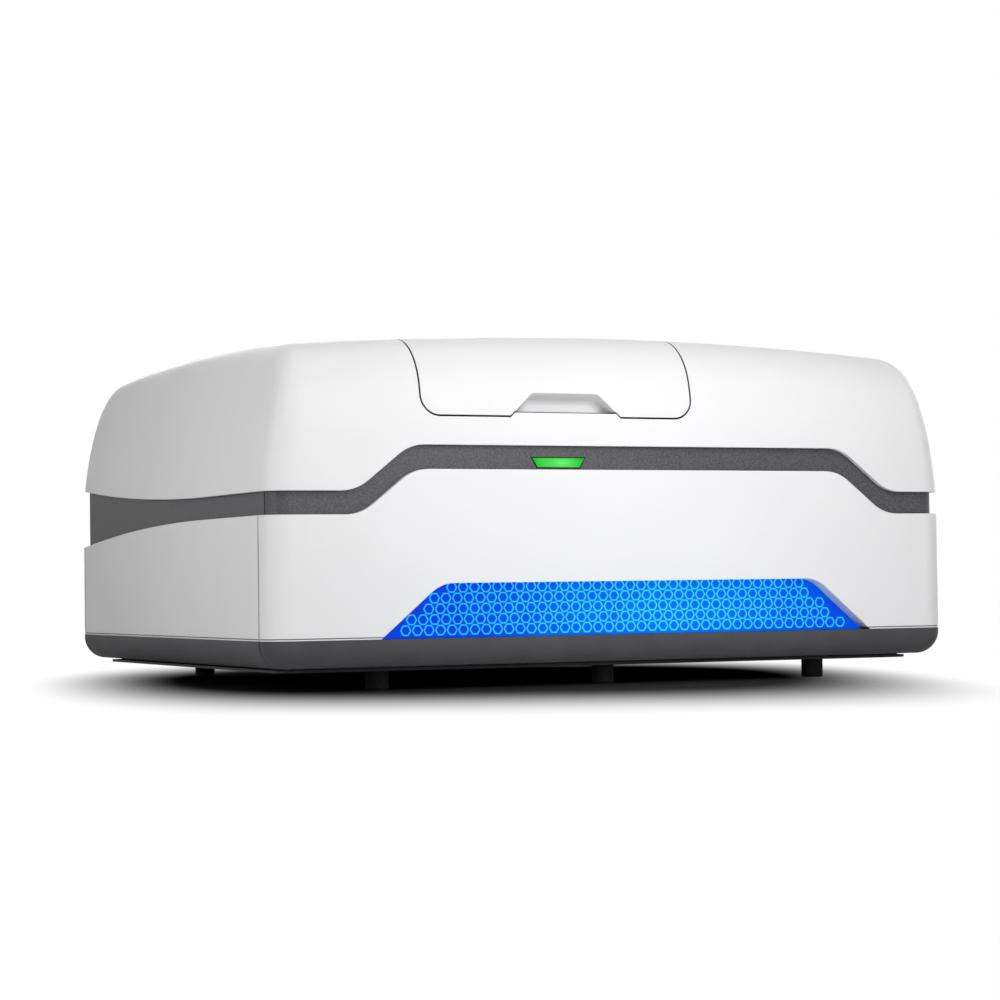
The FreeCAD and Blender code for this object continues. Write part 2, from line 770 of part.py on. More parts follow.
def bands():
    """Dark middle frame: one front piece with the corners and one piece round sides and rear."""
    inner = BAND_INSET + BAND_WALL
    reach = SIDE + BEYOND
    half_seam = SEAM_GAP / 2
    low = PANEL_EDGE_LOW - BAND_LAP
    ring = skin_ring(BAND_INSET, inner, 0, LID_EDGE_HIGH + 2 * BAND_LAP)
    ring = ring.common(under_lid_edge(BAND_LAP))
    front = ring.common(block(-reach, reach, FRONT, -SEAM_Y - half_seam, low, HEIGHT))
    rear = ring.common(block(-reach, reach, -SEAM_Y + half_seam, REAR, 0, HEIGHT))
    rear = rear.cut(under_panel_edge(-BAND_LAP))
    front = front.cut(status_solid(SEAT_GAP, FRONT, FRONT + inner + 1))
    return {"front_band": front.removeSplitter(), "rear_band": rear.removeSplitter()}


def status_solid(offset, y0, y1):
    """Status light, wider at its top."""
    outline = [
        (STATUS_X - STATUS_HALF_LOW - offset, STATUS_LOW - offset),
        (STATUS_X + STATUS_HALF_LOW + offset, STATUS_LOW - offset),
        (STATUS_X + STATUS_HALF_HIGH + offset, STATUS_HIGH + offset),
        (STATUS_X - STATUS_HALF_HIGH - offset, STATUS_HIGH + offset),
    ]
    return front_prism(outline, [0, 0, 0, 0], y0, y1)


def lights():
    """Diffuser of the light window, lens of the status light and the board behind each."""
    light_y = FRONT + WINDOW_DEPTH
    diffuser = window_solid(WINDOW_WALL, light_y, light_y + LIGHT_T, TRAY_TOP + SEAT_GAP)
    board_y = light_y + LIGHT_T
    board = window_solid(-BAND_INSET, board_y, board_y + BOARD_T, TRAY_TOP + BAND_INSET)
    band_y = FRONT + BAND_INSET
    lens_back = band_y + BAND_WALL + STATUS_BEHIND
    lens = status_solid(0, band_y - STATUS_PROUD, band_y + BAND_WALL)
    lens = lens.fuse(status_solid(STATUS_BEHIND, band_y + BAND_WALL, lens_back)).removeSplitter()
    half = STATUS_HALF_HIGH + BAND_LAP
    status_board = block(STATUS_X - half, STATUS_X + half, lens_back, lens_back + BOARD_T,
                         STATUS_LOW - BAND_LAP, STATUS_HIGH + BAND_LAP)
    return {
        "light_panel": diffuser,
        "status_lens": lens,
        "light_boards": Part.makeCompound([board, status_board]),
    }


# Lid, door and hinge

def door_outline(offset):
    """Front view of the door with the raised notch under the scoop."""
    left = DOOR_LEFT - offset
    right = DOOR_RIGHT + offset
    low = DOOR_LOW - offset
    raised = DOOR_LOW + NOTCH_RISE - offset
    foot_half = NOTCH_HALF + NOTCH_RISE
    top = HEIGHT + BEYOND
    outline = [
        (left, low),
        (NOTCH_X - foot_half, low),
        (NOTCH_X - NOTCH_HALF, raised),
        (NOTCH_X + NOTCH_HALF, raised),
        (NOTCH_X + foot_half, low),
        (right, low),
        (right, top),
        (left, top),
    ]
    radius = DOOR_R + offset
    return outline, [radius, 0, 0, 0, 0, radius, 0, 0]


def door_prism(offset, rear):
    """Door region: the front outline swept back to the rear edge."""
    outline, radii = door_outline(offset)
    return front_prism(outline, radii, FRONT - BEYOND, rear)


def scoop(offset):
    """Finger scoop: a tapering pocket with a rounded ground that opens at the notch."""
    low = DOOR_LOW + NOTCH_RISE - BEYOND / 2
    slope = (NOTCH_HALF - SCOOP_HALF_TOP) / (SCOOP_TOP - DOOR_LOW - NOTCH_RISE)

    def section(y, drop, narrow):
        top = SCOOP_TOP - drop + offset
        half_top = SCOOP_HALF_TOP + drop * slope - narrow + offset
        half_low = half_top + (top - low) * slope
        points = [V(NOTCH_X - half_low, y, low), V(NOTCH_X + half_low, y, low),
                  V(NOTCH_X + half_top, y, top), V(NOTCH_X - half_top, y, top)]
        return Part.makePolygon(points + points[:1])

    outer = section(FRONT - 1, 0, 0)
    inner = section(FRONT + SCOOP_DEPTH + offset, SCOOP_ROOF_DRAFT, SCOOP_SIDE_DRAFT)
    pocket = Part.makeLoft([outer, inner], True, True)
    ground = []
    for edge in pocket.Edges:
        if edge.BoundBox.YMax > FRONT and edge.BoundBox.ZMax > low + 1:
            ground.append(edge)
    return pocket.makeFillet(SCOOP_R + offset, ground)


def hinge_point():
    """Centre of the hinge pin in the side view."""
    y = DOOR_REAR - HINGE_BACK
    return y, lid_top(DOOR_X, y) - HINGE_DROP


def lid():
    """Lid shell with returned lower edge and the opening of the access door."""
    floor = LID_EDGE_LOW
    shell = lid_skin(0, WALL, floor).cut(under_lid_edge(0))
    lip = lid_block(WALL / 2, floor).cut(skin_block(BAND_INSET, floor - 1, HEIGHT))
    lip = lip.common(under_lid_edge(RETURN_T)).cut(under_lid_edge(0))
    shell = shell.fuse(lip)
    return shell.cut(door_prism(DOOR_SEAM, DOOR_REAR + DOOR_REAR_GAP)).removeSplitter()


def hinge_places():
    """X of the two hinges."""
    return (DOOR_X - HINGE_SPREAD, DOOR_X + HINGE_SPREAD)


def door():
    """Door skin with its scoop cup and the moving knuckles of the hinge."""
    floor = LID_EDGE_LOW
    skin = lid_skin(0, WALL, floor).common(door_prism(0, DOOR_REAR))
    cup = scoop(SCOOP_WALL).common(lid_block(WALL / 2, floor))
    cup = cup.cut(block(DOOR_LEFT, DOOR_RIGHT, FRONT, REAR, 0, DOOR_LOW + NOTCH_RISE))
    hollow = scoop(0)
    skin = skin.fuse(cup).cut(hollow)
    y, z = hinge_point()
    half_lug = LUG_W / 2 + KNUCKLE_GAP
    knuckles = []
    for x in hinge_places():
        for side in (x - half_lug - KNUCKLE_W, x + half_lug):
            eye = rod(side, y, z, KNUCKLE_W, KNUCKLE_R, V(1, 0, 0))
            web = block(side, side + KNUCKLE_W, y - KNUCKLE_R, y + KNUCKLE_R, z, HEIGHT)
            web = web.common(lid_block(WALL / 2, floor))
            knuckles += [eye, web]
        relief = rod(x - half_lug, y, z, 2 * half_lug, LUG_R + KNUCKLE_GAP, V(1, 0, 0))
        slot = block(x - half_lug, x + half_lug, y, DOOR_REAR + 1, z - LUG_R,
                     z + LUG_R + KNUCKLE_GAP)
        skin = skin.cut(relief).cut(slot)
    skin = fused([skin] + knuckles)
    for x in hinge_places():
        reach = half_lug + KNUCKLE_W + 1
        skin = skin.cut(rod(x - reach, y, z, 2 * reach, PIN_R + SHAFT_PLAY, V(1, 0, 0)))
    return skin


def door_liner():
    """Dark moulded liner on the inside of the door, cut out round scoop and hinges."""
    floor = LID_EDGE_LOW
    inner = WALL + LINER_T
    liner = lid_skin(WALL, inner, floor)
    y, z = hinge_point()
    liner = liner.common(door_prism(-LINER_INSET, y - LUG_R - BRACKET_BAR))
    around = scoop(SCOOP_WALL + KNUCKLE_GAP)
    return liner.cut(around)


def door_seal():
    """Light seal round the opening on three sides, lapping under the door."""
    outer = WALL + SEAT_GAP
    ring = lid_skin(outer, outer + SEAL_T, LID_EDGE_LOW)
    y, z = hinge_point()
    rear = y - BRACKET_BAR
    ring = ring.common(door_prism(DOOR_SEAM + SEAL_LAP, rear))
    ring = ring.cut(door_prism(-SEAL_LAP, REAR))
    reach = NOTCH_HALF + BEYOND
    return ring.cut(block(NOTCH_X - reach, NOTCH_X + reach, FRONT, FRONT + DOOR_DEPTH / 2,
                          0, SCOOP_TOP))


def hinge_brackets():
    """Two hooked arms that hang from the lid and hold the pins under the door."""
    y, z = hinge_point()
    arms = []
    for x in hinge_places():
        x0 = x - LUG_W / 2
        eye = rod(x0, y, z, LUG_W, LUG_R, V(1, 0, 0))
        stem = block(x0, x0 + LUG_W, y - LUG_R, y + LUG_R, z - BRACKET_DIP, z)
        bar = block(x0, x0 + LUG_W, y - LUG_R, y + BRACKET_REACH,
                    z - BRACKET_DIP - BRACKET_BAR, z - BRACKET_DIP)
        riser = block(x0, x0 + LUG_W, y + BRACKET_REACH / 2, y + BRACKET_REACH,
                      z - BRACKET_DIP - 1, HEIGHT)
        arm = fused([eye, stem, bar, riser]).common(lid_block(WALL, LID_EDGE_LOW))
        arms.append(arm.cut(rod(x0 - 1, y, z, LUG_W + 2, PIN_R, V(1, 0, 0))))
    return Part.makeCompound(arms)


def hinge_pins():
    """Two steel pins pressed into the brackets."""
    y, z = hinge_point()
    length = LUG_W + 2 * (KNUCKLE_GAP + KNUCKLE_W)
    pins = [rod(x - length / 2, y, z, length, PIN_R, V(1, 0, 0)) for x in hinge_places()]
    return Part.makeCompound(pins)


def loading_bay():
    """Moulded tub under the door with the port over the stage."""
    left = DOOR_LEFT - BAY_MARGIN
    right = DOOR_RIGHT + BAY_MARGIN
    front = FRONT + WALL
    top = HEIGHT
    outer = block(left - BAY_WALL, right + BAY_WALL, front, BAY_REAR_Y + BAY_WALL, BAY_FLOOR, top)
    hollow = block(left, right, front - 1, BAY_REAR_Y, BAY_FLOOR + BAY_WALL, top + 1)
    port = plan_prism(
        [(STAGE_X - PORT_HALF_X, STAGE_Y - PORT_HALF_Y), (STAGE_X + PORT_HALF_X, STAGE_Y - PORT_HALF_Y),
         (STAGE_X + PORT_HALF_X, STAGE_Y + PORT_HALF_Y), (STAGE_X - PORT_HALF_X, STAGE_Y + PORT_HALF_Y)],
        [BEYOND] * 4, BAY_FLOOR - 1, BAY_FLOOR + BAY_WALL + 1)
    return outer.cut(hollow).cut(port).common(lid_block(WALL, LID_EDGE_LOW))


def door_bumpers():
    """Two rubber stops that carry the closed door."""
    low = BAY_FLOOR + BAY_WALL
    high = DOOR_LOW + LINER_INSET - SEAT_GAP
    behind_seal = WALL + SEAT_GAP + SEAL_T + SEAT_GAP
    y = FRONT + lean_back(DOOR_LOW + LINER_INSET) + behind_seal + BUMPER_R
    reach = DOOR_HALF - LINER_INSET - DOOR_R - BUMPER_R
    stops = [rod(DOOR_X + side * reach, y, low, high - low, BUMPER_R, V(0, 0, 1))
             for side in (-1, 1)]
    return Part.makeCompound(stops)


# Chassis and optical base

def chassis_frame():
    """Welded frame: rail ring on the plate, posts and the deck ring behind the band."""
    outer_x = SIDE - RAIL_INSET
    outer_y = REAR - RAIL_INSET
    low = PLATE_TOP
    ring = block(-outer_x, outer_x, -outer_y, outer_y, low, low + RAIL)
    ring = ring.cut(block(-outer_x + RAIL, outer_x - RAIL, -outer_y + RAIL, outer_y - RAIL,
                          low - 1, low + RAIL + 1))
    inset = BAND_INSET + BAND_WALL
    deck = skin_block(inset, DECK_Z, DECK_Z + DECK_T)
    deck = deck.cut(block(-SIDE + inset + DECK_W, SIDE - inset - DECK_W, FRONT + inset + DECK_W,
                          REAR - inset - DECK_W, DECK_Z - 1, DECK_Z + DECK_T + 1))
    posts = []
    for x in (-outer_x, outer_x - RAIL):
        for y in (-outer_y, -RAIL / 2, outer_y - RAIL):
            posts.append(block(x, x + RAIL, y, y + RAIL, low + RAIL - 1, DECK_Z + 1))
    return fused([ring, deck] + posts)


def isolators():
    """Four rubber mounts between base plate and optical base."""
    mounts = []
    for x in (-1, 1):
        for y in (BASE_FRONT + ISOLATOR_INSET, BASE_REAR - ISOLATOR_INSET):
            place = STAGE_X + x * (BASE_HALF_X - ISOLATOR_INSET)
            mounts.append(rod(place, y, PLATE_TOP, OPTICS_Z - PLATE_TOP, ISOLATOR_R, V(0, 0, 1)))
    return Part.makeCompound(mounts)


def optical_base():
    """Thick aluminium plate that carries the microscope."""
    return block(STAGE_X - BASE_HALF_X, STAGE_X + BASE_HALF_X, BASE_FRONT, BASE_REAR,
                 OPTICS_Z, OPTICS_TOP)


def stage_posts():
    """Four posts under the stage."""
    posts = []
    for x in (-POST_X, POST_X):
        for y in (-POST_Y, POST_Y):
            posts.append(rod(STAGE_X + x, STAGE_Y + y, OPTICS_TOP, STAGE_Z - OPTICS_TOP,
                             POST_R, V(0, 0, 1)))
    return Part.makeCompound(posts)


# Two-axis stage

def stage_base():
    """Fixed stage plate with the bore for the objective."""
    plate = block(STAGE_X - STAGE_HALF_X, STAGE_X + STAGE_HALF_X, STAGE_Y - Y_RAIL_HALF,
                  STAGE_Y + Y_RAIL_HALF, STAGE_Z, STAGE_TOP)
    return plate.cut(rod(STAGE_X, STAGE_Y, STAGE_Z - 1, STAGE_T + 2, STAGE_BORE, V(0, 0, 1)))


def y_rails():
    """Two rails along Y on the stage plate."""
    rails = [block(STAGE_X + x - Y_RAIL_W / 2, STAGE_X + x + Y_RAIL_W / 2, STAGE_Y - Y_RAIL_HALF,
                   STAGE_Y + Y_RAIL_HALF, STAGE_TOP, STAGE_TOP + Y_RAIL_H)
             for x in (-Y_RAIL_X, Y_RAIL_X)]
    return Part.makeCompound(rails)


def y_carriage():
    """Lower carriage: plate with two saddles on the Y rails and an open middle."""
    plate = block(STAGE_X - Y_PLATE_HALF_X, STAGE_X + Y_PLATE_HALF_X, STAGE_Y - Y_PLATE_HALF_Y,
                  STAGE_Y + Y_PLATE_HALF_Y, Y_PLATE_Z, Y_PLATE_TOP)
    saddles = []
    grooves = []
    for x in (-Y_RAIL_X, Y_RAIL_X):
        half = Y_RAIL_W / 2 + SADDLE_SIDE
        saddles.append(block(STAGE_X + x - half, STAGE_X + x + half, STAGE_Y - Y_SADDLE_HALF,
                             STAGE_Y + Y_SADDLE_HALF, STAGE_TOP + SADDLE_LIFT, Y_PLATE_Z + 1))
        groove = Y_RAIL_W / 2 + RUN_GAP
        grooves.append(block(STAGE_X + x - groove, STAGE_X + x + groove, STAGE_Y - Y_RAIL_HALF,
                             STAGE_Y + Y_RAIL_HALF, STAGE_TOP, STAGE_TOP + Y_RAIL_H + RUN_GAP))
    window_y = BARREL_R + Y_TRAVEL + Y_WINDOW_SPARE
    window = block(STAGE_X - STAGE_BORE, STAGE_X + STAGE_BORE, STAGE_Y - window_y,
                   STAGE_Y + window_y, Y_PLATE_Z - 1, Y_PLATE_TOP + 1)
    return fused([plate] + saddles).cut(Part.makeCompound(grooves + [window]))


def x_rails():
    """Two rails along X on the lower carriage."""
    rails = [block(STAGE_X - X_RAIL_HALF, STAGE_X + X_RAIL_HALF,
                   STAGE_Y + y - X_RAIL_W / 2, STAGE_Y + y + X_RAIL_W / 2,
                   Y_PLATE_TOP, Y_PLATE_TOP + X_RAIL_H)
             for y in (-X_RAIL_Y, X_RAIL_Y)]
    return Part.makeCompound(rails)


def x_carriage():
    """Upper carriage: saddles on the X rails, chip nest and the ears of the clamp."""
    half_y = X_RAIL_Y + X_RAIL_W / 2 + SADDLE_SIDE
    plate = block(STAGE_X - X_PLATE_HALF_X, STAGE_X + X_PLATE_HALF_X, STAGE_Y - half_y,
                  STAGE_Y + half_y, X_PLATE_Z, X_PLATE_TOP)
    saddles = []
    grooves = []
    for y in (-X_RAIL_Y, X_RAIL_Y):
        half = X_RAIL_W / 2 + SADDLE_SIDE
        saddles.append(block(STAGE_X - X_SADDLE_HALF, STAGE_X + X_SADDLE_HALF, STAGE_Y + y - half,
                             STAGE_Y + y + half, Y_PLATE_TOP + SADDLE_LIFT, X_PLATE_Z + 1))
        groove = X_RAIL_W / 2 + RUN_GAP
        grooves.append(block(STAGE_X - X_PLATE_HALF_X, STAGE_X + X_PLATE_HALF_X,
                             STAGE_Y + y - groove, STAGE_Y + y + groove,
                             Y_PLATE_TOP, Y_PLATE_TOP + X_RAIL_H + RUN_GAP))
    pocket_x = CHIP_X / 2 + SEAT_GAP
    pocket_y = CHIP_Y / 2 + SEAT_GAP
    pocket = block(STAGE_X - pocket_x, STAGE_X + pocket_x, STAGE_Y - pocket_y, STAGE_Y + pocket_y,
                   X_PLATE_Z + NEST_FLOOR, X_PLATE_TOP + 1)
    view_x = CHIP_X / 2 - NEST_LEDGE
    view_y = CHIP_Y / 2 - NEST_LEDGE
    view = block(STAGE_X - view_x, STAGE_X + view_x, STAGE_Y - view_y, STAGE_Y + view_y,
                 X_PLATE_Z - 1, X_PLATE_TOP)
    body = fused([plate] + saddles + clamp_ears())
    body = body.cut(Part.makeCompound(grooves + [pocket])).cut(view)
    y, z = clamp_axis()
    return body.cut(rod(STAGE_X - X_PLATE_HALF_X - 1, y, z, 2 * X_PLATE_HALF_X + 2,
                        CLAMP_PIN_R, V(1, 0, 0)))


def clamp_axis():
    """Centre of the clamp's pin in the side view."""
    return STAGE_Y + CLAMP_AXIS_Y, X_PLATE_TOP + CLAMP_AXIS_RISE


def clamp_ears():
    """Two ears that carry the clamp's pin."""
    y, z = clamp_axis()
    ears = []
    inner = CLAMP_HALF_X + CLAMP_EAR_GAP
    for x in (STAGE_X - inner - CLAMP_EAR_W, STAGE_X + inner):
        ears.append(block(x, x + CLAMP_EAR_W, y - CLAMP_EYE_R, y + CLAMP_EYE_R, X_PLATE_Z + 1, z))
        ears.append(rod(x, y, z, CLAMP_EAR_W, CLAMP_EYE_R, V(1, 0, 0)))
    return ears


def clamp_pin():
    """Pin pressed into the two ears."""
    y, z = clamp_axis()
    half = CLAMP_HALF_X + CLAMP_EAR_GAP + CLAMP_EAR_W
    return rod(STAGE_X - half, y, z, 2 * half, CLAMP_PIN_R, V(1, 0, 0))


def chip_clamp():
    """Hinged frame that holds the chip down, open over its wells."""
    y, z = clamp_axis()
    low = X_PLATE_TOP + SEAT_GAP
    front = STAGE_Y - CLAMP_FRONT
    plate = block(STAGE_X - CLAMP_HALF_X, STAGE_X + CLAMP_HALF_X, front, y, low, low + CLAMP_T)
    eye = rod(STAGE_X - CLAMP_HALF_X, y, z, 2 * CLAMP_HALF_X, CLAMP_EYE_R, V(1, 0, 0))
    view_x = CHIP_X / 2 - NEST_LEDGE
    view_y = CHIP_Y / 2 - NEST_LEDGE
    view = block(STAGE_X - view_x, STAGE_X + view_x, STAGE_Y - view_y, STAGE_Y + view_y,
                 low - 1, low + CLAMP_T + 1)
    frame = fused([plate, eye]).cut(view)
    return frame.cut(rod(STAGE_X - CLAMP_HALF_X - 1, y, z, 2 * CLAMP_HALF_X + 2,
                         CLAMP_PIN_R + SHAFT_PLAY, V(1, 0, 0)))


def sample_chip():
    """Cartridge with a row of loading wells along each long side."""
    low = X_PLATE_Z + NEST_FLOOR
    chip = block(STAGE_X - CHIP_X / 2, STAGE_X + CHIP_X / 2, STAGE_Y - CHIP_Y / 2,
                 STAGE_Y + CHIP_Y / 2, low, low + CHIP_T)
    pitch = (CHIP_X - 4 * NEST_LEDGE) / (CHIP_WELLS - 1)
    wells = []
    for index in range(CHIP_WELLS):
        x = STAGE_X + (index - (CHIP_WELLS - 1) / 2) * pitch
        for y in (-CHIP_Y / 4, CHIP_Y / 4):
            wells.append(rod(x, STAGE_Y + y, low + CHIP_T - WELL_DEPTH, WELL_DEPTH + 1,
                             WELL_R, V(0, 0, 1)))
    return chip.cut(Part.makeCompound(wells))


# Objective and focus drive

def objective():
    """Turned objective: neck in the carriage, barrel and tapered tip."""
    top = X_PLATE_Z - TIP_GAP
    points = [V(0, 0, FOCUS_TOP - NECK_H), V(NECK_R, 0, FOCUS_TOP - NECK_H), V(NECK_R, 0, FOCUS_TOP),
              V(BARREL_R, 0, FOCUS_TOP), V(BARREL_R, 0, top - TIP_H), V(TIP_R, 0, top), V(0, 0, top)]
    profile = Part.Face(Part.makePolygon(points + points[:1]))
    return profile.revolve(V(0, 0, 0), V(0, 0, 1), 360).translated(V(STAGE_X, STAGE_Y, 0))


def focus_carriage():
    """Block that holds the objective and rides on the upright rail."""
    rear = STAGE_Y + COLUMN_FRONT - SADDLE_LIFT
    low = FOCUS_TOP - FOCUS_T
    body = block(STAGE_X - FOCUS_HALF_X, STAGE_X + FOCUS_HALF_X, STAGE_Y - FOCUS_FRONT, rear,
                 low, FOCUS_TOP)
    seat = rod(STAGE_X, STAGE_Y, low - 1, FOCUS_T + 2, NECK_R + SHAFT_PLAY, V(0, 0, 1))
    groove_x = FOCUS_RAIL_W / 2 + RUN_GAP
    groove = block(STAGE_X - groove_x, STAGE_X + groove_x,
                   STAGE_Y + COLUMN_FRONT - FOCUS_RAIL_T - RUN_GAP, rear + 1, low - 1, FOCUS_TOP + 1)
    return body.cut(seat).cut(groove)


def focus_column():
    """Column behind the objective with its upright rail."""
    front = STAGE_Y + COLUMN_FRONT
    column = block(STAGE_X - COLUMN_HALF_X, STAGE_X + COLUMN_HALF_X, front, front + COLUMN_T,
                   OPTICS_TOP, STAGE_Z)
    rail = block(STAGE_X - FOCUS_RAIL_W / 2, STAGE_X + FOCUS_RAIL_W / 2, front - FOCUS_RAIL_T,
                 front + 1, FOCUS_RAIL_LOW, STAGE_Z)
    return fused([column, rail])


# Optical path on the base

def mirror_block():
    """Cube with the folding mirror: open to the objective, the wheel and the laser."""
    half = CUBE / 2
    cube = block(STAGE_X - half, STAGE_X + half, STAGE_Y - half, STAGE_Y + half,
                 OPTICS_TOP, OPTICS_TOP + CUBE)
    upright = rod(STAGE_X, STAGE_Y, BEAM_Z, CUBE, BEAM_R, V(0, 0, 1))
    across = rod(STAGE_X - CUBE, STAGE_Y, BEAM_Z, 2 * CUBE, BEAM_R, V(1, 0, 0))
    return cube.cut(upright).cut(across)


def filter_motor():
    """Bracket with the beam hole, motor and the shaft of the filter wheel."""
    plate_x = WHEEL_X + WHEEL_T + WHEEL_GAP
    centre_z = BEAM_Z + WHEEL_ORBIT
    plate = block(plate_x, plate_x + MOTOR_PLATE_T, STAGE_Y - MOTOR_HALF_Y, STAGE_Y + MOTOR_HALF_Y,
                  OPTICS_TOP, centre_z + MOTOR_HALF_Y)
    motor = rod(plate_x + MOTOR_PLATE_T - 1, STAGE_Y, centre_z, MOTOR_L + 1, MOTOR_R, V(1, 0, 0))
    shaft = rod(WHEEL_X - WHEEL_GAP, STAGE_Y, centre_z, WHEEL_T + 2 * WHEEL_GAP + 1,
                WHEEL_SHAFT_R, V(1, 0, 0))
    hole = rod(plate_x - 1, STAGE_Y, BEAM_Z, MOTOR_PLATE_T + 2, BEAM_R + 1, V(1, 0, 0))
    return fused([plate, motor, shaft]).cut(hole)


def filter_wheel():
    """Disc with six filter seats, each with its glass."""
    centre_z = BEAM_Z + WHEEL_ORBIT
    disc = rod(WHEEL_X, STAGE_Y, centre_z, WHEEL_T, WHEEL_R, V(1, 0, 0))
    tools = [rod(WHEEL_X - 1, STAGE_Y, centre_z, WHEEL_T + 2, WHEEL_SHAFT_R + SHAFT_PLAY, V(1, 0, 0))]
    for index in range(FILTERS):
        angle = 2 * math.pi * index / FILTERS
        y = STAGE_Y + WHEEL_ORBIT * math.sin(angle)
        z = centre_z - WHEEL_ORBIT * math.cos(angle)
        tools.append(rod(WHEEL_X - 1, y, z, WHEEL_T / 2, FILTER_R, V(1, 0, 0)))
        tools.append(rod(WHEEL_X + WHEEL_T / 2 + 1, y, z, WHEEL_T, FILTER_R, V(1, 0, 0)))
    return disc.cut(Part.makeCompound(tools))


def tube_lens():
    """Lens tube on its foot between wheel and camera."""
    end = WHEEL_X - 2 * WHEEL_GAP
    tube = rod(end - TUBE_L, STAGE_Y, BEAM_Z, TUBE_L, TUBE_R, V(1, 0, 0))
    foot = block(end - TUBE_L / 2 - TUBE_FOOT, end - TUBE_L / 2 + TUBE_FOOT, STAGE_Y - TUBE_FOOT,
                 STAGE_Y + TUBE_FOOT, OPTICS_TOP, BEAM_Z)
    return fused([tube, foot])


def camera():
    """Camera body behind the tube lens with cooling ribs on its top."""
    end = WHEEL_X - 2 * WHEEL_GAP - TUBE_L
    body = block(end - CAMERA_L, end, STAGE_Y - CAMERA_HALF, STAGE_Y + CAMERA_HALF,
                 OPTICS_TOP, BEAM_Z + CAMERA_HALF)
    grooves = []
    pitch = CAMERA_L / 6
    for index in range(1, 6):
        x = end - CAMERA_L + index * pitch
        grooves.append(block(x - pitch / 4, x + pitch / 4, STAGE_Y - CAMERA_HALF - 1,
                             STAGE_Y + CAMERA_HALF + 1, BEAM_Z + CAMERA_HALF - RETURN_T * 2,
                             BEAM_Z + CAMERA_HALF + 1))
    return body.cut(Part.makeCompound(grooves))


def laser_module():
    """Laser box on the other side of the mirror block with its nozzle."""
    start = STAGE_X + CUBE / 2
    body = block(start + NOZZLE_L, start + NOZZLE_L + LASER_L, STAGE_Y - LASER_HALF,
                 STAGE_Y + LASER_HALF, OPTICS_TOP, OPTICS_TOP + LASER_H)
    nozzle = rod(start, STAGE_Y, BEAM_Z, NOZZLE_L + 1, NOZZLE_R, V(1, 0, 0))
    return fused([body, nozzle])


# Electronics

def power_supply():
    """Closed supply box with vent slots on its top."""
    body = block(SUPPLY_X - SUPPLY_W / 2, SUPPLY_X + SUPPLY_W / 2, SUPPLY_Y - SUPPLY_L / 2,
                 SUPPLY_Y + SUPPLY_L / 2, PLATE_TOP, PLATE_TOP + SUPPLY_H)
    slots = []
    for index in range(-4, 5):
        y = SUPPLY_Y + index * SUPPLY_L / 12
        slots.append(block(SUPPLY_X - SUPPLY_W / 3, SUPPLY_X + SUPPLY_W / 3, y - RETURN_T / 2,
                           y + RETURN_T / 2, PLATE_TOP + SUPPLY_H - RETURN_T,
                           PLATE_TOP + SUPPLY_H + 1))
    return body.cut(Part.makeCompound(slots))


def controller_board():
    """Board on four standoffs with its processor, connectors and memory."""
    low = PLATE_TOP + STANDOFF_H
    x0 = BOARD_X - BOARD_L / 2
    y0 = BOARD_Y - BOARD_W / 2
    top = low + BOARD_T
    pieces = [block(x0, x0 + BOARD_L, y0, y0 + BOARD_W, low, top)]
    inset = 3 * STANDOFF_R
    for x in (x0 + inset, x0 + BOARD_L - inset):
        for y in (y0 + inset, y0 + BOARD_W - inset):
            pieces.append(rod(x, y, PLATE_TOP, STANDOFF_H + 1, STANDOFF_R, V(0, 0, 1)))
    parts = ((0.30, 0.55, 40.0, 40.0, 3.0), (0.62, 0.30, 26.0, 26.0, 1.0), (0.80, 0.70, 18.0, 60.0, 2.0),
             (0.12, 0.25, 14.0, 50.0, 2.0), (0.50, 0.85, 60.0, 12.0, 2.0))
    for along, across, length, width, rise in parts:
        x = x0 + along * BOARD_L
        y = y0 + across * BOARD_W
        pieces.append(block(x - length / 2, x + length / 2, y - width / 2, y + width / 2,
                            top - BOARD_T / 2, top + rise * CHIP_BLOCK_H))
    return fused(pieces)


def fan_frame(fan_x):
    """Square fan frame with four struts, motor plate and shaft."""
    half = FAN_SIZE / 2
    y0 = REAR - WALL - FAN_T
    centre = V(fan_x, y0, FAN_Z)
    frame = block(fan_x - half, fan_x + half, y0, y0 + FAN_T, FAN_Z - half, FAN_Z + half)
    frame = frame.cut(rod(fan_x, y0 - 1, FAN_Z, FAN_T + 2, FAN_BORE, V(0, 1, 0)))
    struts = []
    for turn in (45, 135):
        strut = block(-FAN_BORE - 1, FAN_BORE + 1, 0, FAN_PLATE_T, -STRUT_W / 2, STRUT_W / 2)
        strut.rotate(V(0, 0, 0), V(0, 1, 0), turn)
        struts.append(strut.translated(centre))
    plate = rod(fan_x, y0, FAN_Z, FAN_PLATE_T, FAN_HUB_R, V(0, 1, 0))
    shaft = rod(fan_x, y0, FAN_Z, FAN_T - FAN_PLATE_T, FAN_SHAFT_R, V(0, 1, 0))
    return fused([frame, plate, shaft] + struts)


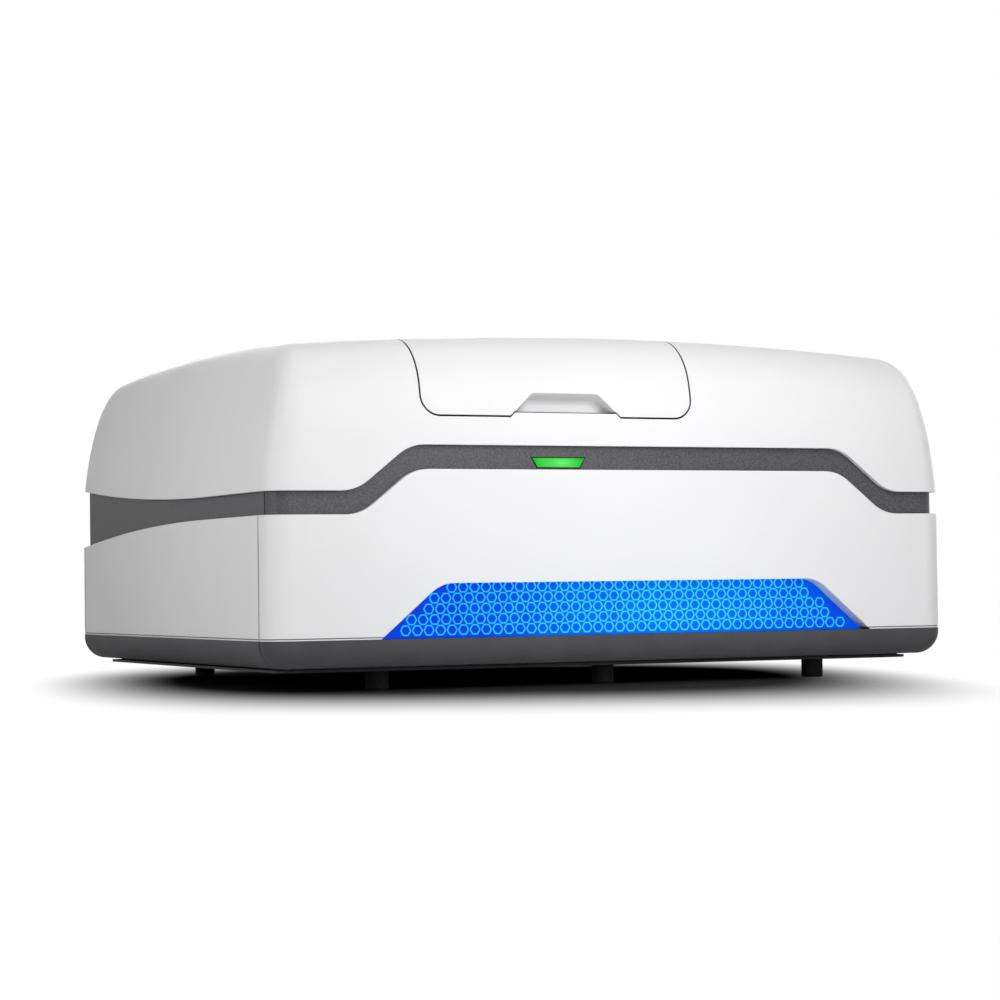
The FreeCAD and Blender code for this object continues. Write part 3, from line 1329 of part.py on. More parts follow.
def fan_rotor(fan_x):
    """Seven pitched blades on a hub that turns on the shaft."""
    y0 = REAR - WALL - FAN_T + FAN_PLATE_T + KNUCKLE_GAP
    length = FAN_T - FAN_PLATE_T - 3 * KNUCKLE_GAP
    hub = rod(fan_x, y0, FAN_Z, length, FAN_HUB_R, V(0, 1, 0))
    reach = FAN_BORE - FAN_TIP_GAP
    blade_half = length / 2 / math.cos(math.radians(FAN_BLADE_PITCH)) - FAN_BLADE_T
    blades = []
    for index in range(FAN_BLADES):
        blade = block(-FAN_BLADE_T / 2, FAN_BLADE_T / 2, -blade_half, blade_half, FAN_HUB_R / 2, reach + 1)
        blade.rotate(V(0, 0, 0), V(0, 0, 1), FAN_BLADE_PITCH)
        blade.rotate(V(0, 0, 0), V(0, 1, 0), 360.0 * index / FAN_BLADES)
        blades.append(blade.translated(V(fan_x, y0 + length / 2, FAN_Z)))
    swept = rod(fan_x, y0, FAN_Z, length, reach, V(0, 1, 0))
    rotor = fused([hub] + blades).common(swept)
    return rotor.cut(rod(fan_x, y0 - 1, FAN_Z, length + 2, FAN_SHAFT_R + SHAFT_PLAY, V(0, 1, 0)))


def power_inlet():
    """Mains inlet with three prongs in its socket."""
    y1 = REAR - SEAT_GAP
    body = block(INLET_X - INLET_W / 2, INLET_X + INLET_W / 2, y1 - INLET_L, y1,
                 INLET_Z - INLET_H / 2, INLET_Z + INLET_H / 2)
    socket = block(INLET_X - SOCKET_W / 2, INLET_X + SOCKET_W / 2, y1 - SOCKET_DEPTH, y1 + 1,
                   INLET_Z - SOCKET_H / 2, INLET_Z + SOCKET_H / 2)
    body = body.cut(socket)
    prongs = []
    for x, rise in ((-7.0, -2.0), (0.0, 2.0), (7.0, -2.0)):
        prongs.append(block(INLET_X + x - 1, INLET_X + x + 1, y1 - SOCKET_DEPTH - 1,
                            y1 - SOCKET_DEPTH + PRONG_L, INLET_Z + rise - 2, INLET_Z + rise + 2))
    return fused([body] + prongs)


def switch_frame():
    """Frame of the rocker switch, part of the rear connections."""
    y1 = REAR - SEAT_GAP
    half_x = SWITCH_W / 2 + SWITCH_FRAME
    half_z = SWITCH_H / 2 + SWITCH_FRAME
    body = block(SWITCH_X - half_x, SWITCH_X + half_x, y1 - INLET_L, y1,
                 INLET_Z - half_z, INLET_Z + half_z)
    well = block(SWITCH_X - SWITCH_W / 2 - SEAT_GAP, SWITCH_X + SWITCH_W / 2 + SEAT_GAP,
                 y1 - INLET_L + SWITCH_FRAME, y1 + 1,
                 INLET_Z - SWITCH_H / 2 - SEAT_GAP, INLET_Z + SWITCH_H / 2 + SEAT_GAP)
    y, z = rocker_axis()
    pin = rod(SWITCH_X - half_x + 1, y, z, 2 * half_x - 2, PIN_R, V(1, 0, 0))
    return fused([body.cut(well), pin])


def rocker_axis():
    """Centre of the rocker's pin in the side view."""
    return REAR - SEAT_GAP - ROCKER_R, INLET_Z


def power_switch():
    """Rocker with a dished face, turning on its pin."""
    y, z = rocker_axis()
    half = SWITCH_W / 2
    tilt = math.radians(ROCKER_ANGLE)
    tall = SWITCH_H / 2 * math.cos(tilt) - 2 * SEAT_GAP
    depth = ROCKER_R - tall * math.sin(tilt) - SEAT_GAP
    outline = [
        (y - ROCKER_R / 2, z - PIN_R * 2),
        (y + depth, z - tall),
        (y + depth * 0.8, z),
        (y + depth, z + tall),
        (y - ROCKER_R / 2, z + PIN_R * 2),
    ]
    body = extruded([V(SWITCH_X - half, py, pz) for py, pz in outline], [1, 1, 0, 1, 1],
                    V(2 * half, 0, 0))
    return body.cut(rod(SWITCH_X - half - 1, y, z, 2 * half + 2, PIN_R + SHAFT_PLAY, V(1, 0, 0)))


def data_ports():
    """Block with two network sockets and two smaller ports."""
    y1 = REAR - SEAT_GAP
    body = block(PORTS_X - PORTS_W / 2, PORTS_X + PORTS_W / 2, y1 - PORTS_L, y1,
                 INLET_Z - PORTS_H / 2, INLET_Z + PORTS_H / 2)
    holes = []
    for x, width, height in PORT_HOLES:
        holes.append(block(PORTS_X + x - width / 2, PORTS_X + x + width / 2, y1 - PORT_DEPTH, y1 + 1,
                           INLET_Z - height / 2, INLET_Z + height / 2))
    return body.cut(Part.makeCompound(holes))


def rear_screws():
    """Flat screws sunk in the rear panel."""
    screws = []
    for x in SCREW_X:
        for z in SCREW_Z:
            head = rod(x, REAR - SCREW_T, z, SCREW_T - SEAT_GAP, SCREW_R, V(0, 1, 0))
            shank = rod(x, REAR - SCREW_T - SCREW_SHANK_L, z, SCREW_SHANK_L + 1,
                        SCREW_SHANK_R, V(0, 1, 0))
            screws.append(fused([head, shank]))
    return Part.makeCompound(screws)


# Whole instrument

def build():
    """All pieces of the instrument by name."""
    made = {"base_plate": base_plate()}
    made.update(feet())
    made.update(tray_pieces())
    made.update(panels())
    made.update(bands())
    made.update(lights())
    made["chassis_frame"] = chassis_frame()
    made["lid_shell"] = lid()
    made["access_door"] = door()
    made["door_liner"] = door_liner()
    made["door_seal"] = door_seal()
    made["door_bumpers"] = door_bumpers()
    made["hinge_brackets"] = hinge_brackets()
    made["hinge_pins"] = hinge_pins()
    made["loading_bay"] = loading_bay()
    made["isolators"] = isolators()
    made["optical_base"] = optical_base()
    made["stage_posts"] = stage_posts()
    made["stage_base"] = stage_base()
    made["y_rails"] = y_rails()
    made["y_carriage"] = y_carriage()
    made["x_rails"] = x_rails()
    made["x_carriage"] = x_carriage()
    made["clamp_pin"] = clamp_pin()
    made["chip_clamp"] = chip_clamp()
    made["sample_chip"] = sample_chip()
    made["objective"] = objective()
    made["focus_carriage"] = focus_carriage()
    made["focus_column"] = focus_column()
    made["mirror_block"] = mirror_block()
    made["filter_motor"] = filter_motor()
    made["filter_wheel"] = filter_wheel()
    made["tube_lens"] = tube_lens()
    made["camera"] = camera()
    made["laser_module"] = laser_module()
    made["power_supply"] = power_supply()
    made["controller_board"] = controller_board()
    for side, fan_x in zip(("left", "right"), FAN_X):
        made["fan_frame_" + side] = fan_frame(fan_x)
        made["fan_rotor_" + side] = fan_rotor(fan_x)
    made["power_inlet"] = power_inlet()
    made["switch_frame"] = switch_frame()
    made["power_switch"] = power_switch()
    made["data_ports"] = data_ports()
    made["rear_screws"] = rear_screws()
    return made


def main():
    """Write one file per piece."""
    os.makedirs("parts", exist_ok=True)
    for name, shape in build().items():
        shape.exportStep("parts/%s.step" % name)


main()
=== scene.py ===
import logging
import math
from dataclasses import dataclass
from enum import Enum

import bmesh
import bpy
from mathutils import Matrix, Vector


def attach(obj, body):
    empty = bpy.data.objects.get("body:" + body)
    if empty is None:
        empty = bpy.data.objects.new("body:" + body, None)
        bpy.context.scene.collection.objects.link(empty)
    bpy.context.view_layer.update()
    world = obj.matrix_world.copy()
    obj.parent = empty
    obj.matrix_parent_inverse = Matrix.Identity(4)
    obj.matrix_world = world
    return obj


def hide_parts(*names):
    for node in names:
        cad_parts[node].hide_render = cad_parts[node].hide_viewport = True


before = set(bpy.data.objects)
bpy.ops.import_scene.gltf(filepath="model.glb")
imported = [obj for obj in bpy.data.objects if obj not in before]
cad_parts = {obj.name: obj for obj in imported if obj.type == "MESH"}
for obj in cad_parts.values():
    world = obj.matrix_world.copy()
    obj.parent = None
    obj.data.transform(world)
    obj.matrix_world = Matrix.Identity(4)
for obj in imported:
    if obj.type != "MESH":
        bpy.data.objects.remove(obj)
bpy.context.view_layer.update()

LOG = logging.getLogger("instrument")
MM = 0.001
NOISE_LOW, NOISE_HIGH = 0.3, 0.7
# Occlusion at which the painted crevice shade is full, occlusion at which it is gone, and the
# share of colour left where it is full.
SHADE_FULL_AO, SHADE_NONE_AO, SHADE_DARKEST = 0.42, 0.74, 0.1


class Body(Enum):
    """Rigid bodies of the instrument."""

    HOUSING = "housing"
    DOOR = "door"
    Y_STAGE = "y_stage"
    X_STAGE = "x_stage"
    FOCUS = "focus"
    SWITCH = "power_switch"


class Axis(Enum):
    """Ways a repeated part can point, as a turn from +Z."""

    UP = (0.0, 0.0, 0.0)
    REAR = (-math.pi / 2, 0.0, 0.0)
    FRONT = (math.pi / 2, 0.0, 0.0)


def linear(colour: str) -> tuple[float, float, float, float]:
    """Turn an sRGB hex colour into linear light.

    Args:
        colour: Six hex digits.

    Returns:
        Red, green, blue and an alpha of one.
    """
    parts = [int(colour[i:i + 2], 16) / 255 for i in (0, 2, 4)]
    light = [p / 12.92 if p <= 0.04045 else ((p + 0.055) / 1.055) ** 2.4 for p in parts]
    return light[0], light[1], light[2], 1.0


def add(tree: bpy.types.NodeTree, kind: str, inputs: dict | None = None,
        stops: tuple[tuple[float, str], ...] = (), **settings: object) -> bpy.types.Node:
    """Add a node with its settings, values and links.

    Args:
        tree: Tree that gets the node.
        kind: Node type.
        inputs: Value or output socket for each input, by name or index.
        stops: Positions and sRGB colours of a ramp's two keys.
        **settings: Properties of the node.

    Returns:
        The new node.
    """
    node = tree.nodes.new(kind)
    for key, value in settings.items():
        setattr(node, key, value)
    for index, (position, colour) in enumerate(stops):
        node.color_ramp.elements[index].position = position
        node.color_ramp.elements[index].color = linear(colour)
    for key, value in (inputs or {}).items():
        if isinstance(value, bpy.types.NodeSocket):
            tree.links.new(value, node.inputs[key])
        else:
            node.inputs[key].default_value = value
    return node


# Finishes

WINDOW_GLOW = (0.06, -0.356, 0.080)
STATUS_GLOW = (-0.080, -0.369, 0.2568)


@dataclass(frozen=True)
class Finish:
    """A surface: what it is made of and how it was made."""

    name: str
    colour: str
    roughness: float = 0.5
    metallic: float = 0.0
    ior: float = 1.5
    specular: float = 0.5
    grain_mm: float = 1.0
    relief_mm: float = 0.01
    edge_mm: float = 0.6
    patch_mm: float = 60.0

    def material(self) -> bpy.types.Material:
        """Return the finish's material, made on first use."""
        found = bpy.data.materials.get(self.name)
        if found:
            return found
        made = bpy.data.materials.new(self.name)
        made.use_nodes = True
        shader = made.node_tree.nodes["Principled BSDF"]
        shader.inputs["Base Color"].default_value = linear(self.colour)
        shader.inputs["Roughness"].default_value = self.roughness
        shader.inputs["Metallic"].default_value = self.metallic
        shader.inputs["IOR"].default_value = self.ior
        shader.inputs["Specular IOR Level"].default_value = self.specular
        made.diffuse_color = linear(self.colour)
        self.detail(made.node_tree, shader)
        return made

    def grain(self, tree: bpy.types.NodeTree, size_mm: float, detail: float = 2.0,
              stretch: tuple[float, float, float] = (1.0, 1.0, 1.0)) -> bpy.types.NodeSocket:
        """Add a noise whose bumps are a real size.

        Args:
            tree: Material tree.
            size_mm: Width of one bump.
            detail: Octaves of the noise.
            stretch: Scale along each axis.

        Returns:
            The noise value.
        """
        place = add(tree, "ShaderNodeTexCoord").outputs["Object"]
        spot = add(tree, "ShaderNodeMapping", {"Vector": place, "Scale": stretch})
        noise = add(tree, "ShaderNodeTexNoise", {"Vector": spot.outputs[0],
                    "Scale": 1 / (size_mm * MM), "Detail": detail})
        return noise.outputs["Fac"]

    def polish(self, tree: bpy.types.NodeTree, shader: bpy.types.Node,
               noise: bpy.types.NodeSocket, smoother: float, rougher: float) -> None:
        """Vary the roughness about its mean by a noise.

        Args:
            tree: Material tree.
            shader: Surface shader.
            noise: Noise value.
            smoother: How far the roughness falls.
            rougher: How far it rises.
        """
        span = add(tree, "ShaderNodeMapRange", {"Value": noise, "From Min": NOISE_LOW,
                   "From Max": NOISE_HIGH, "To Min": self.roughness - smoother,
                   "To Max": self.roughness + rougher})
        tree.links.new(span.outputs["Result"], shader.inputs["Roughness"])

    def relief(self, tree: bpy.types.NodeTree, shader: bpy.types.Node,
               height: bpy.types.NodeSocket) -> None:
        """Give the surface its relief over softly broken edges.

        Args:
            tree: Material tree.
            shader: Surface shader.
            height: Height value.
        """
        edge = add(tree, "ShaderNodeBevel", {"Radius": self.edge_mm * MM}, samples=4)
        bump = add(tree, "ShaderNodeBump", {"Height": height, "Normal": edge.outputs["Normal"],
                   "Distance": self.relief_mm * MM})
        tree.links.new(bump.outputs["Normal"], shader.inputs["Normal"])

    def painted_crevice_shade(self, tree: bpy.types.NodeTree, shader: bpy.types.Node,
                 colour: bpy.types.NodeSocket, reach_mm: float) -> None:
        """Paint shade into the colour where gaps and overhangs keep the light out.

        Args:
            tree: Material tree.
            shader: Surface shader that gets the colour.
            colour: Colour in the open.
            reach_mm: Width of the gaps that stay dark.
        """
        open_air = add(tree, "ShaderNodeAmbientOcclusion", {"Distance": reach_mm * MM}, samples=8)
        light = add(tree, "ShaderNodeMapRange", {"Value": open_air.outputs["AO"],
                    "From Min": SHADE_FULL_AO, "From Max": SHADE_NONE_AO, "To Min": SHADE_DARKEST},
                    interpolation_type="SMOOTHSTEP")
        shade = add(tree, "ShaderNodeVectorMath", {0: colour}, operation="SCALE")
        tree.links.new(light.outputs["Result"], shade.inputs["Scale"])
        tree.links.new(shade.outputs[0], shader.inputs["Base Color"])

    def detail(self, tree: bpy.types.NodeTree, shader: bpy.types.Node) -> None:
        """Add the surface's own pattern."""
        self.relief(tree, shader, self.grain(tree, self.grain_mm))
        self.polish(tree, shader, self.grain(tree, self.patch_mm), 0.04, 0.04)


@dataclass(frozen=True)
class SprayedShell(Finish):
    """Sprayed and baked paint on a moulded shell: a faint orange peel that softens reflections."""

    lighter: str = "F4F4F5"
    lacquer: float = 0.03
    drift_mm: float = 180.0

    def detail(self, tree: bpy.types.NodeTree, shader: bpy.types.Node) -> None:
        """Add the orange peel and a very slight unevenness of the white."""
        super().detail(tree, shader)
        shader.inputs["Coat Weight"].default_value = self.lacquer
        shader.inputs["Coat Roughness"].default_value = 0.25
        tint = add(tree, "ShaderNodeValToRGB", {"Fac": self.grain(tree, self.drift_mm)},
                   stops=((NOISE_LOW, self.colour), (NOISE_HIGH, self.lighter)))
        # Painted shade in the seams and under the overhangs of the shells.
        self.painted_crevice_shade(tree, shader, tint.outputs["Color"], 4.0)


@dataclass(frozen=True)
class GrainedMoulding(Finish):
    """Spark-eroded ABS: a leather-fine grain, with pale specks painted where its tips would catch
    the light.
    """

    glint_speck: str = "8A8A8C"
    sheen: float = 0.0

    def detail(self, tree: bpy.types.NodeTree, shader: bpy.types.Node) -> None:
        """Add the grain and its painted glint specks, drawn a little coarser than life so that
        they show.
        """
        place = add(tree, "ShaderNodeTexCoord").outputs["Object"]
        pebble = add(tree, "ShaderNodeTexVoronoi", {"Vector": place,
                     "Scale": 1 / (self.grain_mm * MM)})
        # Pale specks painted into the colour where the grain's tips would glint; the grain's bumps
        # themselves are real relief.
        shade = add(tree, "ShaderNodeValToRGB",
                    {"Fac": self.grain(tree, self.grain_mm * 1.4, 3.0)},
                    stops=((0.38, self.colour), (0.72, self.glint_speck)))
        # Painted shade in the gaps and under the overhangs of the moulding.
        self.painted_crevice_shade(tree, shader, shade.outputs["Color"], 3.5)
        shader.inputs["Coat Weight"].default_value = self.sheen
        shader.inputs["Coat Roughness"].default_value = 0.4
        self.relief(tree, shader, pebble.outputs["Distance"])


@dataclass(frozen=True)
class WornGloss(Finish):
    """Moulding with a polish that varies where hands and cloths touch it."""

    spot: str = "2A2A2C"
    touch_mm: float = 35.0

    def detail(self, tree: bpy.types.NodeTree, shader: bpy.types.Node) -> None:
        """Vary colour and gloss in broad soft patches."""
        super().detail(tree, shader)
        tint = add(tree, "ShaderNodeValToRGB", {"Fac": self.grain(tree, self.touch_mm, 4.0)},
                   stops=((0.35, self.colour), (0.75, self.spot)))
        # Painted shade in the gaps and under the overhangs.
        self.painted_crevice_shade(tree, shader, tint.outputs["Color"], 3.0)


@dataclass(frozen=True)
class LitAcrylic(Finish):
    """Frosted acrylic lit from behind: brightest over the lamps, darker at its rim."""

    specular: float = 0.05
    rim: str = "0450D8"
    unlit: str = "030A14"
    power: float = 1.0
    cloud_mm: float = 26.0
    clouding: float = 0.12
    half_x: float = 0.28
    squash: float = 2.6
    centre: tuple[float, float, float] = (0.0, 0.0, 0.0)

    def detail(self, tree: bpy.types.NodeTree, shader: bpy.types.Node) -> None:
        """Light the sheet from its centre outwards, with soft unevenness."""
        scale = (1 / self.half_x, 0.0, self.squash / self.half_x)
        place = add(tree, "ShaderNodeTexCoord").outputs["Object"]
        spot = add(tree, "ShaderNodeMapping", {"Vector": place, "Scale": scale,
                   "Location": tuple(-c * s for c, s in zip(self.centre, scale))})
        reach = add(tree, "ShaderNodeVectorMath", {0: spot.outputs[0]}, operation="LENGTH")
        cloud = add(tree, "ShaderNodeMapRange", {"Value": self.grain(tree, self.cloud_mm),
                    "From Min": NOISE_LOW, "From Max": NOISE_HIGH,
                    "To Min": -self.clouding, "To Max": self.clouding})
        far = add(tree, "ShaderNodeMath", {0: reach.outputs["Value"], 1: cloud.outputs["Result"]},
                  operation="ADD")
        glow = add(tree, "ShaderNodeValToRGB", {"Fac": far.outputs[0]},
                   stops=((0.1, self.colour), (1.0, self.rim)))
        tree.links.new(glow.outputs["Color"], shader.inputs["Emission Color"])
        shader.inputs["Emission Strength"].default_value = self.power
        shader.inputs["Base Color"].default_value = linear(self.unlit)


@dataclass(frozen=True)
class Brushed(Finish):
    """Ground or turned metal: fine parallel lines that stretch the highlights."""

    lines: tuple[float, float, float] = (0.04, 1.0, 1.0)

    def detail(self, tree: bpy.types.NodeTree, shader: bpy.types.Node) -> None:
        """Add the tool lines."""
        stroke = self.grain(tree, self.grain_mm, 3.0, self.lines)
        self.relief(tree, shader, stroke)
        self.polish(tree, shader, stroke, 0.08, 0.10)


@dataclass(frozen=True)
class Laminate(Finish):
    """Circuit laminate with solder mask: tracks under the green, black parts above it."""

    part_colour: str = "17181A"
    copper: str = "1C6A44"
    gap: str = "2F8A5C"
    track_mm: float = 9.0
    top: float = 0.0386

    def detail(self, tree: bpy.types.NodeTree, shader: bpy.types.Node) -> None:
        """Draw tracks in the mask and turn everything above the board dark."""
        place = add(tree, "ShaderNodeTexCoord").outputs["Object"]
        track = add(tree, "ShaderNodeTexBrick", {"Vector": place, "Mortar Size": 0.04,
                    "Scale": 1 / (self.track_mm * MM), "Color1": linear(self.colour),
                    "Color2": linear(self.copper), "Mortar": linear(self.gap)})
        height = add(tree, "ShaderNodeSeparateXYZ", {"Vector": place}).outputs["Z"]
        above = add(tree, "ShaderNodeMath", {0: height, 1: self.top + 0.3 * MM},
                    operation="GREATER_THAN")
        mixed = add(tree, "ShaderNodeMix", {"Factor": above.outputs[0]}, data_type="RGBA")
        tree.links.new(track.outputs["Color"], mixed.inputs[6])
        mixed.inputs[7].default_value = linear(self.part_colour)
        tree.links.new(mixed.outputs[2], shader.inputs["Base Color"])


@dataclass(frozen=True)
class ClearPolymer(Finish):
    """Injection-moulded cyclic olefin: clear and slightly milky, with a sharp sheen."""

    def detail(self, tree: bpy.types.NodeTree, shader: bpy.types.Node) -> None:
        """Let some light through and keep the flow marks faint."""
        super().detail(tree, shader)
        shader.inputs["Transmission Weight"].default_value = 0.55


# Two-pack paint, sprayed and baked: an even satin white.
WHITE_SHELL = SprayedShell("sprayed_white_shell", "F1F1F2", 0.42, specular=0.3, grain_mm=1.6,
                           relief_mm=0.003, edge_mm=1.2)
# Spark-eroded ABS: a mid grey with painted glints on its grain.
GREY_FRAME = GrainedMoulding("spark_eroded_grey_abs", "424244", 0.36, specular=0.0,
                             grain_mm=0.7, relief_mm=0.035, edge_mm=0.8, glint_speck="6C6C70",
                             sheen=0.6)
# Satin ABS moulding: calm charcoal with broad, faint patches.
DARK_TRAY = WornGloss("satin_charcoal_abs", "4F4F52", 0.45, specular=0.1, grain_mm=0.8,
                      relief_mm=0.02, spot="565659", edge_mm=0.8)
# Powder coat, baked: a dull black with a fine pebble.
BLACK_POWDER = Finish("black_powder_coat", "101011", 0.6, grain_mm=1.2, relief_mm=0.06)
# Moulded rubber: a deep matt black.
BLACK_RUBBER = WornGloss("moulded_black_rubber", "070708", 0.75, specular=0.2, grain_mm=0.7,
                         relief_mm=0.03, spot="101011")
# Lit opal sheet: an even, saturated blue.
BLUE_ACRYLIC = LitAcrylic("backlit_blue_acrylic", "0074F4", 0.45, rim="0040DE",
                          centre=WINDOW_GLOW)
# Engraved line that the lamps light from its edge: cyan.
CELL_LINE = LitAcrylic("edge_lit_cyan_line", "44DEFF", 0.45, rim="2CC0FF", centre=WINDOW_GLOW)
# Light that leaks beside the engraved line: a soft rim of paler blue.
CELL_HALO = LitAcrylic("cyan_halo_in_acrylic", "0688F8", 0.45, rim="0256E6",
                       centre=WINDOW_GLOW)
# Lit lens: bright in the middle, deeper green at its ends.
GREEN_LENS = LitAcrylic("lit_green_lens", "66F06A", 0.3, rim="08C020", half_x=0.032,
                        centre=STATUS_GLOW, squash=2.4)
# Glass-epoxy board under solder mask: green with paler tracks.
GREEN_LAMINATE = Laminate("green_circuit_laminate", "14563A", 0.4)
# Coarsely grained moulding: a dark grey that hides scratches, with faint painted glints on its
# grain.
BAY_MOULDING = GrainedMoulding("grained_dark_bay_moulding", "36363A", 0.6, grain_mm=1.4,
                               relief_mm=0.08, glint_speck="4A4A4E")
# Ground steel: fine lines and long soft glints.
GROUND_STEEL = Brushed("ground_steel", "A9ABAE", 0.28, 1.0, grain_mm=0.6, relief_mm=0.004)
# Bead-blasted aluminium: a pale frost without lines.
BLASTED_ALUMINIUM = Finish("bead_blasted_aluminium", "B9BCC0", 0.42, 1.0, grain_mm=0.5,
                           relief_mm=0.01)
# Anodised aluminium: black that still gleams like metal.
BLACK_ANODISED = Finish("black_anodised_aluminium", "1A1A1C", 0.38, 0.6, grain_mm=0.5,
                        relief_mm=0.008)
# Turned brass: warm, with rings round its axis.
TURNED_BRASS = Brushed("turned_brass", "C9A45A", 0.24, 1.0, grain_mm=0.5, relief_mm=0.005,
                       lines=(1.0, 1.0, 0.08))
# Stoved enamel on sheet steel: a smooth cool grey.
GREY_ENAMEL = Finish("grey_stoved_enamel", "5C6066", 0.4, grain_mm=1.0, relief_mm=0.02)
# Moulded nylon: black with a slight wax.
BLACK_NYLON = WornGloss("moulded_black_nylon", "131314", 0.45, grain_mm=0.6, relief_mm=0.015,
                        spot="1D1D1F")
# Clear cyclic olefin, moulded: glassy, a little milky.
CHIP_POLYMER = ClearPolymer("clear_chip_polymer", "DDE6EA", 0.12, grain_mm=3.0, relief_mm=0.002)
# Dyed moulding round each port: a plain warm orange.
PORT_RIM = Finish("orange_port_rim", "E0842A", 0.4, grain_mm=0.6, relief_mm=0.01)
# Gold on nickel: small bright yellow glints.
GILT_CONTACT = Brushed("gold_plated_contact", "E2B64A", 0.22, 1.0, grain_mm=0.4,
                       relief_mm=0.002)
# Screen-printed ink: flat white with a dry edge.
WHITE_INK = Finish("screen_printed_white", "E8E8E8", 0.6, grain_mm=0.3, relief_mm=0.004)


# Mesh and node helpers

def piece(name: str, mesh: bpy.types.Mesh, finish: Finish, body: Body) -> bpy.types.Object:
    """Put a mesh with its finish into the scene on its body.

    Args:
        name: Name of the piece.
        mesh: Mesh in metres, in the shared frame.
        finish: Its finish.
        body: Body that it rides on.

    Returns:
        The object.
    """
    made = bpy.data.objects.new(name, mesh)
    bpy.context.scene.collection.objects.link(made)
    mesh.materials.clear()
    mesh.materials.append(finish.material())
    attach(made, body.value)
    return made


def dress(nodes: list[str], finish: Finish) -> None:
    """Give carried-over nodes a finish."""
    for name in nodes:
        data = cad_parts[name].data
        data.materials.clear()
        data.materials.append(finish.material())


def smooth_skin(node: str, finish: Finish, body: Body,
                crease: float = 24.0) -> bpy.types.Object:
    """Stand in for a node with a merged copy that is smooth over its curves.

    Args:
        node: Node that is copied and replaced.
        finish: Its finish, which also breaks the sharp edges.
        body: Body that it rides on.
        crease: Angle in degrees above which an edge is sharp.

    Returns:
        The new piece.
    """
    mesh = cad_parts[node].data.copy()
    stored = mesh.attributes.get("custom_normal")
    if stored:
        mesh.attributes.remove(stored)
    shape = bmesh.new()
    shape.from_mesh(mesh)
    bmesh.ops.remove_doubles(shape, verts=shape.verts, dist=0.002 * MM)
    for face in shape.faces:
        face.smooth = True
    for edge in shape.edges:
        if len(edge.link_faces) == 2:
            edge.smooth = edge.calc_face_angle(0.0) < math.radians(crease)
    shape.to_mesh(mesh)
    shape.free()
    made = piece(node + "_skin", mesh, finish, body)
    shading = made.modifiers.new("shading by face area", "WEIGHTED_NORMAL")
    shading.keep_sharp = True
    shading.weight = 100
    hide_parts(node)
    return made


def plate_ring(name: str, outer: list[tuple[float, float]], inner: list[tuple[float, float]],
               front: float, back: float) -> bpy.types.Mesh:
    """Make a flat closed frame that faces the front.

    Args:
        name: Name of the mesh.
        outer: Outer outline as x and z, counted round.
        inner: Inner outline with as many points.
        front: Y of the front face.
        back: Y of the back face.

    Returns:
        The closed mesh.
    """
    count = len(outer)
    points = [(x, y, z) for y in (front, back) for line in (outer, inner) for x, z in line]
    faces = []
    for i in range(count):
        j = (i + 1) % count
        faces += [(i, j, count + j, count + i),
                  (2 * count + i, 3 * count + i, 3 * count + j, 2 * count + j),
                  (i, 2 * count + i, 2 * count + j, j),
                  (count + i, count + j, 3 * count + j, 3 * count + i)]
    mesh = bpy.data.meshes.new(name)
    mesh.from_pydata(points, [], faces)
    shape = bmesh.new()
    shape.from_mesh(mesh)
    bmesh.ops.recalc_face_normals(shape, faces=shape.faces)
    shape.to_mesh(mesh)
    shape.free()
    return mesh


class Recipe:
    """A geometry node tree with named size inputs, for parts that repeat."""

    def __init__(self, name: str) -> None:
        """Start the tree with its geometry and material inputs."""
        self.tree = bpy.data.node_groups.new(name, "GeometryNodeTree")
        self.keys: dict[str, str] = {}
        self.source = self.tree.nodes.new("NodeGroupInput")
        self.target = self.tree.nodes.new("NodeGroupOutput")
        self.tree.interface.new_socket("Geometry", in_out="OUTPUT",
                                       socket_type="NodeSocketGeometry")
        self.points = self.size("Points", "NodeSocketGeometry")
        self.material = self.size("Material", "NodeSocketMaterial")

    def size(self, name: str, kind: str = "NodeSocketFloat") -> bpy.types.NodeSocket:
        """Add a named input and return its socket inside the tree."""
        made = self.tree.interface.new_socket(name, in_out="INPUT", socket_type=kind)
        self.keys[name] = made.identifier
        return self.source.outputs[name]

    def close(self, geometry: bpy.types.NodeSocket) -> None:
        """End the tree in realised instances with their material."""
        real = add(self.tree, "GeometryNodeRealizeInstances", {"Geometry": geometry})
        dressed = add(self.tree, "GeometryNodeSetMaterial", {"Geometry": real.outputs[0],
                      "Material": self.material})
        self.tree.links.new(dressed.outputs[0], self.target.inputs[0])

    def make(self, name: str, spots: list[tuple[float, float, float]], finish: Finish, body: Body,
             slot: str, sizes: dict[str, object]) -> bpy.types.Object:
        """Run the tree and return its result as a plain piece.

        Args:
            name: Name of the piece.
            spots: Points that the tree starts from, in metres.
            finish: Finish of the piece.
            body: Body that it rides on.
            slot: Material slot of the record; not used.
            sizes: Value of each named input.

        Returns:
            The piece.
        """
        start = bpy.data.meshes.new(name + "_spots")
        start.from_pydata([tuple(spot) for spot in spots], [], [])
        worker = bpy.data.objects.new(name + "_worker", start)
        bpy.context.scene.collection.objects.link(worker)
        modifier = worker.modifiers.new("recipe", "NODES")
        modifier.node_group = self.tree
        modifier[self.keys["Material"]] = finish.material()
        for key, value in sizes.items():
            modifier[self.keys[key]] = value
        graph = bpy.context.evaluated_depsgraph_get()
        mesh = bpy.data.meshes.new_from_object(worker.evaluated_get(graph))
        worker.modifiers.remove(modifier)
        bpy.data.objects.remove(worker)
        mesh.name = name
        return piece(name, mesh, finish, body)


